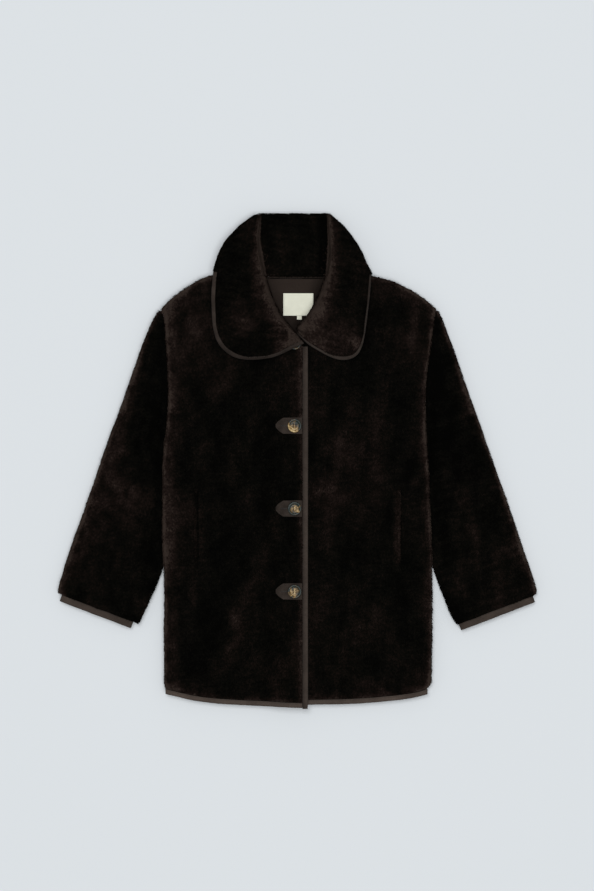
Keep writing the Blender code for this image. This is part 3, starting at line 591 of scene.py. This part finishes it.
def thread_finish(name, colour):
    """Twisted polyester thread."""
    material, shader, place = new_finish(name, 0.55, 0.25)
    twist = wired(material, "ShaderNodeTexNoise", Scale=1500.0, Detail=2.0)
    shade = wired(material, "ShaderNodeMapRange", From_Min=0.3, From_Max=0.7, To_Min=0.7, To_Max=1.2)
    tinted = wired(material, "ShaderNodeVectorMath", operation="SCALE")
    tinted.inputs[0].default_value = colour
    joined(material, (place, "Object"), (twist, "Vector"), (twist, "Fac"), (shade, "Value"))
    joined(material, (shade, 0), (tinted, "Scale"), (tinted, 0), (shader, "Base Color"))
    return material


def near_the_pockets(roots):
    """Painted sheen on the nap inside each pocket edge, where it is parted, and beside it the painted shadow
    of the slit.
    """
    sheen = np.zeros(len(roots))
    for slit, strength in ((-0.1865, 0.10), (0.1955, 0.42)):
        inwards = (slit - roots[:, 0]) * np.sign(slit)
        run = np.interp(roots[:, 1], (-0.205, -0.190, -0.150, -0.060, -0.050), (0.0, 0.35, 1.0, 0.9, 0.0))
        sheen += strength * run * np.interp(inwards, (-0.001, 0.0005, 0.006, 0.014), (0.0, 1.0, 1.0, 0.0))
        sheen -= 0.30 * run * np.interp(inwards, (-0.0045, -0.003, -0.001, 0.0), (0.0, 1.0, 1.0, 0.0))
    return sheen


def ridge_highlight(points):
    """The front tape is painted lightest on the ridge near its outer edge as a highlight, and darker on its
    inner side.
    """
    return np.interp(points[:, 0], (0.0110, 0.0130, 0.0175, 0.0200, 0.0212), (0.75, 1.0, 1.45, 1.5, 1.1))


def stations(first, last, across, heading, reach, along_x=True):
    """Starts at even steps along X or Y, from which a row of stitches feels for the cloth's edge."""
    marks = np.linspace(first, last, int(abs(last - first) / 0.002))
    return [((mark, across) if along_x else (across, mark), heading, reach) for mark in marks]


thread = thread_finish("brown_thread", (0.030, 0.024, 0.020))
front_rows = {
    # the cut's width and area, the seed of its pile, its hem, where the hem's stitches are felt for
    "right": (0.27, 0.20, 21, "hem_right", stations(-0.250, 0.006, -0.40, (0.0, -1.0), 0.08)),
    "left": (0.32, 0.24, 31, "hem_left", stations(0.020, 0.254, -0.39, (0.0, -1.0), 0.09)),
}
for side, (width, area, seed, hem, row) in front_rows.items():
    rim = rim_bands(f"front_{side}", *RIM_SHEEN[side])

    # painted sheen and shade on the front's nap, partly its own patchy tone
    def tone_and_sheen(roots):
        return near_the_pockets(roots) + rim(roots) + sheen_at(roots, SHEEN_PLACES[side])

    front = backing(f"front_{side}_panel", f"front_{side}", seed, sheen=tone_and_sheen)
    dressed(front, fur, "fur", f"front_{side}")
    shorn = rim_bands(f"front_{side}", ((0, -1), 0.65, 0.005))
    front_pile = pile(
        f"front_{side}_pile", front, 57000, down_the_body, seed, sheen=tone_and_sheen, shorn=shorn, under=0.0
    )
    trims = [dressed(front_pile, fur, "fur"), bound(hem, hem_tape_lightness)]
    trims.append(stitched(f"{hem}_stitches", trims[-1], [row], thread))
    if side == "right":
        hem_tape = trims[1]
        points = points_of(hem_tape.data)
        moved(hem_tape, points + np.array((HEM_TAPE_TUCK, 0.0, 0.0)) * (points[:, 0] > HEM_TAPE_END)[:, None])
        trims.append(bound("front", ridge_highlight))
        edge = stations(0.212, -0.466, -0.006, (1.0, 0.0), 0.03, along_x=False)
        trims.append(stitched("front_stitches", trims[-1], [edge], thread))

# ---- The sleeves: each one piece, folded flat along its outer edge and joined under the arm.
# They lie half under the fronts, with their pile brushed down to the cuff, which is bound with tape.
SLEEVE_SHEEN_PLACES = {
    # the same columns as for the fronts
    "right": ((-336, -65, 48, 62, 0, 0.36), (-317, -268, 38, 17, 20, 0.24), (-266, -213, 22, 13, 0, 0.24)),
    "left": ((301, -250, 15, 30, 0, 0.27), (348, -179, 50, 60, 0, 0.10), (294, -131, 8, 22, 0, 0.15),
             (285, 195, 30, 70, -20, -0.28)),
}


def cuff_tape_lightness(points):
    return np.full(len(points), 1.45)


for side, sign in (("right", -1), ("left", 1)):

    def down_the_sleeve(roots):
        return np.tile((sign * 0.33, -0.94, 0.0), (len(roots), 1))

    # painted sheen along the fold, and painted shade beside the body that lies over the sleeve
    broad = (0.28, 0.030) if side == "right" else (0.16, 0.012)
    rims = (
        ((sign, 0), 0.55, 0.005),
        ((sign, 0), *broad),
        ((0, 1), 0.16, 0.005),
        ((-sign, 0), -0.20, 0.045),
    )
    rim = rim_bands(f"sleeve_{side}", *rims)

    # painted sheen and shade on the sleeve's nap, partly its own patchy tone
    def tone_and_sheen(roots):
        return rim(roots) + sheen_at(roots, SLEEVE_SHEEN_PLACES[side])

    sleeve = backing(f"sleeve_{side}_panel", f"sleeve_{side}", 41 + sign, sheen=tone_and_sheen, lined=True)
    dressed(sleeve, fur, "fur", f"sleeve_{side}")
    shorn = rim_bands(f"sleeve_{side}", ((0.33 * sign, -0.94), 0.65, 0.005))
    sleeve_pile = pile(
        f"sleeve_{side}_pile", sleeve, 40000, down_the_sleeve, 41 + sign, sheen=tone_and_sheen, shorn=shorn, under=0.3
    )
    cuff = bound(f"cuff_{side}", cuff_tape_lightness)
    row = stations(sign * 0.285, sign * 0.436, -0.15, (0.0, -1.0), 0.16)
    trims = [dressed(sleeve_pile, fur, "fur"), cuff, stitched(f"cuff_{side}_stitches", cuff, [row], thread)]

# ---- The collar: stand and fall in one piece of pile fabric, turned down outside the neck.
# The pile runs over the rolls, where it stands open under a painted sheen, and out on the falls, and down at
# the back of the stand.
# Its outer edge is bound like the fronts.
COLLAR_ROLLS = {
    # x, y of the line along which the collar turns over, from the throat to the top, in millimetres
    "right": ((-3.5, 243.5), (-18.5, 262.0), (-35.5, 288.0), (-48.0, 315.5), (-58.0, 351.5), (-70.0, 420.0),
              (-67.0, 470.5)),
    "left": ((1.0, 254.5), (15.5, 271.5), (32.0, 296.5), (44.0, 323.0), (55.5, 351.5), (59.5, 420.0),
             (57.5, 470.5)),
}
ROLL_SHEEN = {
    # y, how far out from the roll the nap stands open with a painted sheen, and how much
    "right": ((235, 30, 0.60), (290, 25, 0.85), (350, 24, 0.95), (372, 22, 0.95), (420, 13, 0.85),
              (470, 8, 0.5)),
    "left": ((225, 60, 0.65), (265, 45, 0.8), (300, 28, 0.9), (350, 17, 0.95), (420, 14, 0.75),
             (470, 11, 0.5)),
}
COLLAR_SHEEN_PLACES = (
    (-108, 258, 36, 28, 0, 0.24), (-117, 335, 32, 45, 0, -0.12), (86, 249, 30, 25, 0, 0.21),
    (110, 225, 14, 12, 0, 0.67), (107, 330, 18, 58, 0, -0.12), (88, 405, 20, 40, -20, 0.10),
)
TIP_REACH = 0.0040  # how far out a tuft's tip shows from its root
CREST = 0.0027  # the highest line of a roll, outwards from where it is seen to end


def from_the_roll(points, side, sign):
    """How far outwards from a roll line points lie, square to it, and that direction."""
    line = np.array(COLLAR_ROLLS[side]) / 1000
    roll_x = np.interp(points[:, 1], line[:, 1], line[:, 0])
    slopes = np.diff(line[:, 0]) / np.diff(line[:, 1])
    slope = np.interp(points[:, 1], (line[1:, 1] + line[:-1, 1]) / 2, slopes)
    outwards = np.stack((sign * np.ones(len(points)), -sign * slope, np.zeros(len(points))), axis=1)
    outwards /= np.linalg.norm(outwards, axis=1)[:, None]
    return (points[:, 0] - roll_x) * sign / np.hypot(1.0, slope), outwards


def over_the_roll(roots):
    """The nap runs up the inner side of a roll, over it and out on the fall."""
    nap = np.tile((0.0, -1.0, 0.0), (len(roots), 1))
    for side, sign in (("right", -1), ("left", 1)):
        away, outwards = from_the_roll(roots, side, sign)
        nap += np.interp(away, (-0.010, -0.005), (0.0, 1.0))[:, None] * (0.8 * outwards + (0.0, 0.4, 0.0))
        nap[:, 2] += np.interp(away, (-0.012, -0.006, 0.0, 0.004), (0.0, 1.2, 0.9, 0.0))
    return nap


def sheen_at_the_rolls(roots):
    """A painted sheen where the nap stands open as it bends over the rolls, and painted shade where it lies
    close beside the stand.
    """
    sheen = np.zeros(len(roots))
    streaks = waves(roots * (1.0, 1.0, 0.3), 0.006, 0.03, 77)
    for side, sign in (("right", -1), ("left", 1)):
        away, _ = from_the_roll(roots, side, sign)
        heights, widths, strengths = np.array(ROLL_SHEEN[side]).T
        width = np.interp(roots[:, 1] * 1000, heights, widths) / 1000
        band = np.exp(-((np.maximum(away + TIP_REACH, 0.0) / width) ** 2))
        # and a painted highlight along the roll's crest
        band = band + 0.8 * np.exp(-(((away - CREST) / 0.0035) ** 2))
        # beside the facing the painted sheen runs over the inner side of the roll too, beside the stand it
        # gives way to painted shade
        stand = np.interp(roots[:, 1], (0.335, 0.356), (0.0, 1.0))
        band *= np.interp(away + 0.011 * (1.0 - stand), (-0.0025, -0.0005), (0.0, 1.0))
        band *= 1.0 + 0.35 * (1.0 - stand) * np.interp(away, (-0.001, 0.003), (1.0, 0.0))
        sheen = np.maximum(sheen, band * np.interp(roots[:, 1] * 1000, heights, strengths))
        sheen -= 0.30 * stand * np.interp(away, (-0.022, -0.014, -0.0035, -0.0015), (0.0, 1.0, 1.0, 0.0))
    return sheen * (1.0 + 0.25 * streaks) + sheen_at(roots, COLLAR_SHEEN_PLACES)


def collar_tape_lightness(points):
    """The collar's tape is darker in front on the wearer's right, and at the side on the left."""
    front = np.where(points[:, 0] < 0, 0.60, 1.05)
    side = np.where(points[:, 0] < 0, 0.95, 0.70)
    share = np.interp(points[:, 1], (0.20, 0.26), (0.0, 1.0))
    return front + (side - front) * share


def around(centre, first, last):
    """Starts for stitches that feel outwards from one centre, over a range of angles in degrees."""
    angles = np.radians(np.linspace(first, last, int(abs(last - first))))
    return [(centre, (math.cos(angle), math.sin(angle)), 0.17) for angle in angles]


collar = dressed(backing("collar_panel", "collar", 61, sheen=sheen_at_the_rolls), fur, "fur", "collar")
collar_pile = pile("collar_pile", collar, 54000, over_the_roll, 61, sheen=sheen_at_the_rolls, under=0.15)
trims = [dressed(collar_pile, fur, "fur")]
for side, row in (("right", around((-0.085, 0.29), 175, 325)), ("left", around((0.075, 0.29), 5, -145))):
    trims.append(bound(f"collar_{side}", collar_tape_lightness))
    trims.append(stitched(f"collar_{side}_stitches", trims[-1], [row], thread))

# ---- The facing inside the back of the neck: smooth suede-like cloth, cut to the neck's curve.
# It is turned in under the stand and topstitched along the neck seam.
WELT_Y = 0.3484  # the middle of the welt at the neck seam


def thin_cloth(name, node, cuts, height, *wave):
    """A copy of a flat solid in small faces, not quite level, and its points before it was made so."""
    piece = copied(name, node)
    bpy.ops.object.mode_set(mode="EDIT")
    bpy.ops.mesh.select_all(action="SELECT")
    bpy.ops.mesh.subdivide(number_cuts=cuts)
    bpy.ops.object.mode_set(mode="OBJECT")
    points = points_of(piece.data)
    raised = points.copy()
    raised[:, 2] += height * waves(points * (1.0, 1.0, 0.0), *wave)
    moved(piece, raised)
    return piece, points


facing, points = thin_cloth("neck_facing", "back_neck_facing", 18, 0.00035, 0.02, 0.07, 83)
bpy.ops.object.shade_smooth_by_angle(angle=math.radians(50))
# painted shade on the facing beside each roll, deeper beside the left one, and lighter towards the neck seam
dimmed = np.ones(len(points))
for side, sign, dim in (("right", -1, 0.72), ("left", 1, 0.55)):
    inwards = -from_the_roll(points, side, sign)[0]
    dimmed = np.minimum(dimmed, np.interp(inwards, (0.006, 0.012, 0.024), (dim, dim + 0.12, 1.0)))
marked(facing.data, "tone_and_shading", dimmed * np.interp(points[:, 1], (0.285, 0.325), (1.05, 1.28)))
smooth_suede = suede_finish("smooth_suede", (0.0185, 0.0135, 0.0110), uneven=0.12)
dressed(facing, smooth_suede, "suede", "back_neck_facing")
row = stations(-0.060, 0.057, 0.362, (0.0, -1.0), 0.03)
trims = [stitched("facing_stitches", facing, [row], thread)]

# the seam allowance of the stand, turned down and flattened under it, with a dark line painted along its foot
# as a groove's shadow
low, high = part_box("back_neck_facing")
bpy.ops.object.select_all(action="DESELECT")
bpy.ops.mesh.primitive_cube_add(size=1.0, location=(-0.0015, WELT_Y, high[2] + 0.0002))
welt = bpy.context.object
welt.name = "neck_welt"
bpy.ops.object.mode_set(mode="EDIT")
bpy.ops.transform.resize(value=(0.116, 0.0042, 0.0006))
bpy.ops.mesh.subdivide(number_cuts=8)
bpy.ops.object.mode_set(mode="OBJECT")
bpy.ops.object.transform_apply(location=True, rotation=False, scale=False)
bpy.ops.object.shade_smooth_by_angle(angle=math.radians(50))
height = points_of(welt.data)[:, 1] - WELT_Y
marked(welt.data, "tone_and_shading", np.interp(height, (-0.0021, -0.0018, 0.0001, 0.0006), (0.9, 0.15, 0.15, 1.0)))
trims.append(dressed(welt, smooth_suede, "suede"))

# ---- The label at the neck and the size tab under it: cream woven cloth, left bare.
# Both ends of the label are turned under and stitched to the facing, and the tab is a folded loop.
CREAM = (0.73, 0.735, 0.615)


def woven_finish(name, colour):
    """Fine satin-faced weave: close ribs across, finer warp threads between them."""
    material, shader, place = new_finish(name, 0.6, 0.2)
    ribs = wired(material, "ShaderNodeTexWave", bands_direction="Y", Scale=520.0, Distortion=0.4, Detail=1.0)
    warp = wired(material, "ShaderNodeTexWave", bands_direction="X", Scale=760.0, Distortion=0.3, Detail=1.0)
    weave = wired(material, "ShaderNodeMath", operation="ADD")
    joined(material, (place, "Object"), (ribs, "Vector"), (place, "Object"), (warp, "Vector"))
    joined(material, (ribs, "Fac"), (weave, 0), (warp, "Fac"), (weave, 1))
    tone_and_sheen = wired(material, "ShaderNodeTexNoise", Scale=70.0, Detail=3.0)
    both = wired(material, "ShaderNodeMath", operation="MULTIPLY_ADD")
    both.inputs[1].default_value = 0.25
    joined(material, (place, "Object"), (tone_and_sheen, "Vector"), (weave, 0), (both, 0), (tone_and_sheen, "Fac"), (both, 2))
    shade = wired(material, "ShaderNodeMapRange", From_Min=0.4, From_Max=1.1, To_Min=0.93, To_Max=1.05)
    tinted = wired(material, "ShaderNodeVectorMath", operation="SCALE")
    tinted.inputs[0].default_value = colour
    joined(material, (both, 0), (shade, "Value"), (shade, 0), (tinted, "Scale"))
    joined(material, (tinted, 0), (shader, "Base Color"))
    relief = wired(material, "ShaderNodeBump", Strength=0.3, Distance=0.0001)
    joined(material, (weave, 0), (relief, "Height"), (relief, "Normal"), (shader, "Normal"))
    return material


def woven_piece(name, node, cuts, ridge, along_x):
    """A small woven piece on its solid's place, thicker by its turned ends, and not quite flat."""
    low, high = (np.array(corner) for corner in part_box(node))
    bpy.ops.object.select_all(action="DESELECT")
    bpy.ops.mesh.primitive_plane_add(size=1.0, location=(*(low + high)[:2] / 2, low[2] + 0.0001))
    piece = bpy.context.object
    piece.name = name
    bpy.ops.object.mode_set(mode="EDIT")
    bpy.ops.transform.resize(value=(high[0] - low[0], high[1] - low[1], 1.0))
    bpy.ops.mesh.subdivide(number_cuts=cuts)
    bpy.ops.object.mode_set(mode="OBJECT")
    bpy.ops.object.transform_apply(location=True, rotation=False, scale=False)
    points = points_of(piece.data)
    axis = 0 if along_x else 1
    to_end = np.minimum(points[:, axis] - low[axis], high[axis] - points[:, axis])
    points[:, 2] += np.interp(to_end, (0.0, ridge, 1.25 * ridge), (0.00035, 0.00035, 0.0))
    points[:, 2] += 0.00012 * (1.0 + waves(points * (1.0, 1.0, 0.0), 0.015, 0.05, 87))
    moved(piece, points)
    thickness = piece.modifiers.new("Cloth", "SOLIDIFY")
    thickness.thickness = 0.00045
    thickness.offset = 1.0
    bpy.ops.object.modifier_apply(modifier=thickness.name)
    soft = piece.modifiers.new("Soft edges", "BEVEL")
    soft.width = 0.00015
    soft.segments = 2
    bpy.ops.object.modifier_apply(modifier=soft.name)
    bpy.ops.object.shade_smooth_by_angle(angle=math.radians(50))
    return dressed(piece, cream, "satin", node)


cream = woven_finish("cream_woven_cloth", CREAM)
cream_thread = thread_finish("cream_thread", (0.55, 0.55, 0.47))
label = woven_piece("neck_label", "label", 16, 0.006, True)
low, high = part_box("label")
rows = [
    stations(high[1] - 0.001, low[1] + 0.001, low[0] - 0.001, (1.0, 0.0), 0.01, along_x=False),
    stations(high[1] - 0.001, low[1] + 0.001, high[0] + 0.001, (-1.0, 0.0), 0.01, along_x=False),
]
trims = [
    stitched("label_stitches", label, rows, cream_thread),
    woven_piece("size_loop", "size_tab", 12, 0.0016, False),
]

# ---- The pockets: a slit in each front, its inner edge a lip of the same fur.
# The lip's pile is brushed down and outwards, over the slit.
for side, sign in (("right", -1), ("left", 1)):

    def over_the_slit(roots):
        return np.tile((0.35 * sign, -0.94, 0.0), (len(roots), 1))

    lip = backing(f"pocket_{side}_lip", f"pocket_lip_{side}", 91, sheen=near_the_pockets)
    dressed(lip, fur, "fur", f"pocket_lip_{side}")
    lip_pile = pile(f"pocket_{side}_pile", lip, 1600, over_the_slit, 91 + sign, sheen=near_the_pockets)
    dressed(lip_pile, fur, "fur")

# ---- The patches: blunt-pointed pieces of suede-like cloth round the buttonholes, topstitched all round.
# Each buttonhole is closed by its lips of close stitching, half of it under the button.
PATCH_COLOUR = (0.0270, 0.0210, 0.0175)
BUTTONHOLE_ENDS = (-0.0305, 0.0015)  # where it starts and ends in x
patch_cloth = suede_finish("patch_suede", PATCH_COLOUR, uneven=0.3)
dark_thread = thread_finish("buttonhole_thread", (0.016, 0.013, 0.011))
for number in (1, 2, 3):
    name = f"buttonhole_patch_{number}"
    patch, points = thin_cloth(name, f"patch_{number}", 5, 0.00025, 0.008, 0.03, 95)
    tone_and_sheen = np.interp(points[:, 0], (-0.040, -0.026, -0.010), (0.75, 1.15, 1.0))
    marked(patch.data, "tone_and_shading", tone_and_sheen * (1.0 + 0.2 * waves(points, 0.006, 0.025, 96)))
    soft = patch.modifiers.new("Turned edge", "BEVEL")
    soft.width = 0.0005
    soft.segments = 3
    soft.limit_method = "ANGLE"
    bpy.ops.object.modifier_apply(modifier=soft.name)
    bpy.ops.object.shade_smooth_by_angle(angle=math.radians(60))
    dressed(patch, patch_cloth, "suede", f"patch_{number}")
    low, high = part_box(f"patch_{number}")
    rows = [
        stations(low[0] + 0.001, high[0] - 0.001, high[1] + 0.002, (0.0, -1.0), 0.02),
        stations(low[0] + 0.001, high[0] - 0.001, low[1] - 0.002, (0.0, 1.0), 0.02),
    ]
    stitched(f"patch_{number}_stitches", patch, rows, thread)

    bpy.ops.object.select_all(action="DESELECT")
    middle = (low[1] + high[1]) / 2
    first, last = BUTTONHOLE_ENDS
    length = last - first
    centre = ((last + first) / 2, middle, high[2] - 0.0001)
    bpy.ops.mesh.primitive_torus_add(
        location=centre, major_segments=48, minor_segments=10, major_radius=0.0007, minor_radius=0.00055
    )
    lips = bpy.context.object
    lips.name = f"buttonhole_{number}"
    for vertex in lips.data.vertices:
        vertex.co.x += math.copysign(length / 2 - 0.0012, vertex.co.x)
        vertex.co.z *= 0.7
    bpy.ops.object.transform_apply(location=True, rotation=False, scale=False)
    bpy.ops.object.shade_smooth()
    dressed(lips, dark_thread, "tape")

# ---- The buttons: four-hole, dished, turned from horn-like polyester, sewn on with two bars of thread.
# The topmost one lies under the collar.
BUTTON_RIM = 0.0031
BUTTON_DISH = 0.0011
HOLE_RADIUS = 0.0011
HOLE_PLACE = 0.0026
STRAND_RADIUS = 0.00024
STRAND_ENDS = ((0.00035, -0.00022), (0.00015, -0.0006), (0.0, -0.0016))  # outwards, and down into the holes
STRAND_SPACING = 0.0005
STRAND_DROP = 0.0000375  # how much lower the outer strands of a bar lie
HORN = {
    "dark": (0.010, 0.018, 0.016),
    "brown": (0.055, 0.036, 0.014),
    "gold": (0.200, 0.122, 0.038),
    "tan": (0.50, 0.38, 0.19),
}
HORN_MOTTLE = 1.6
HORN_LAYERS = (
    # how each button was cut through the layers: how light in the middle, towards which side it is darker,
    # in degrees, by how much, and how much darker its rim is
    (0.38, 60.0, 0.10, 0.0),
    (0.52, 55.0, 0.40, -0.06),
    (0.70, 165.0, 0.16, 0.46),
    (0.70, 20.0, 0.20, 0.38),
)


def horn_finish():
    """Clear and clouded layers, mottled from tan over gold and brown to a green black."""
    material, shader, place = new_finish("horn_polyester", 0.35, 0.15)
    clouds = wired(material, "ShaderNodeTexNoise", Scale=190.0, Detail=3.0, Roughness=0.6, Distortion=0.8)
    layer = wired(material, "ShaderNodeAttribute", attribute_name="layer")
    mixed = wired(material, "ShaderNodeMath", operation="MULTIPLY_ADD")
    mixed.inputs[1].default_value = HORN_MOTTLE
    stops = ((0.0, "dark"), (0.42, "dark"), (0.54, "brown"), (0.74, "gold"), (1.0, "tan"))
    colour = ramped(material, *((stop, HORN[shade]) for stop, shade in stops))
    joined(material, (place, "Object"), (clouds, "Vector"), (clouds, "Fac"), (mixed, 0))
    joined(material, (layer, "Fac"), (mixed, 2))
    joined(material, (mixed, 0), (colour, 0), (colour, 0), (shader, "Base Color"))
    shader.inputs["Coat Weight"].default_value = 0.10
    shader.inputs["Coat Roughness"].default_value = 0.12
    return material


horn = horn_finish()
sewing_thread = thread_finish("button_thread", (0.036, 0.022, 0.017))
for number in range(4):
    low, high = (np.array(corner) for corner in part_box(f"button_{number}"))
    centre = (low + high) / 2
    radius = (high[0] - low[0]) / 2
    height = high[2] - low[2]
    bpy.ops.object.select_all(action="DESELECT")
    bpy.ops.mesh.primitive_cylinder_add(vertices=64, radius=radius, depth=height, location=centre)
    button = bpy.context.object
    button.name = f"horn_button_{number}"
    bpy.ops.object.mode_set(mode="EDIT")
    bpy.ops.mesh.select_mode(type="FACE")
    bpy.ops.mesh.select_all(action="DESELECT")
    bpy.ops.object.mode_set(mode="OBJECT")
    for face in button.data.polygons:
        face.select = face.normal.z > 0.9
    bpy.ops.object.mode_set(mode="EDIT")
    bpy.ops.mesh.inset(thickness=BUTTON_RIM, depth=0.0)
    bpy.ops.mesh.inset(thickness=0.0012, depth=-BUTTON_DISH)
    bpy.ops.mesh.inset(thickness=0.0030, depth=-0.0001)
    bpy.ops.mesh.inset(thickness=0.0020, depth=0.0)
    bpy.ops.mesh.inset(thickness=0.0018, depth=0.0)
    bpy.ops.mesh.select_mode(type="EDGE")
    bpy.ops.mesh.select_all(action="DESELECT")
    bpy.ops.mesh.edges_select_sharp(sharpness=math.radians(25))
    bpy.ops.mesh.bevel(offset=0.0011, segments=5, affect="EDGES")
    bpy.ops.object.mode_set(mode="OBJECT")
    for across in (-HOLE_PLACE, HOLE_PLACE):
        for up in (-HOLE_PLACE, HOLE_PLACE):
            place = (centre[0] + across, centre[1] + up, centre[2])
            bpy.ops.mesh.primitive_cylinder_add(
                vertices=24, radius=HOLE_RADIUS, depth=3 * height, location=place
            )
            drill = bpy.context.object
            only(button)
            hole = button.modifiers.new("Hole", "BOOLEAN")
            hole.object = drill
            bpy.ops.object.modifier_apply(modifier=hole.name)
            bpy.data.objects.remove(drill)
    bpy.ops.object.transform_apply(location=True, rotation=False, scale=False)
    bpy.ops.object.shade_smooth_by_angle(angle=math.radians(35))
    light, turn, slope, rim = HORN_LAYERS[number]
    turn = math.radians(turn)
    out = (points_of(button.data) - centre)[:, :2] / radius
    from_middle = (out**2).sum(axis=1)
    darker = slope * (out @ (math.cos(turn), math.sin(turn))) + rim * from_middle
    heart = 0.25 * np.exp(-from_middle / 0.09)
    marked(button.data, "layer", light - darker + heart - HORN_MOTTLE / 2)
    dressed(button, horn, "horn", f"button_{number}")

    strand = thread_shape(1, STRAND_RADIUS, 2 * HOLE_PLACE - 0.0008, STRAND_ENDS)
    level = high[2] - BUTTON_DISH + 0.0004
    places = []
    for across in (-HOLE_PLACE, HOLE_PLACE):
        for strand_side in (-1, 0, 1):
            x = centre[0] + across + strand_side * STRAND_SPACING
            place = np.array((x, centre[1], level - abs(strand_side) * STRAND_DROP))
            places.append((place, np.eye(3)))
    dressed(repeated(f"button_{number}_thread", strand, places), sewing_thread, "tape")
    bpy.data.objects.remove(strand)
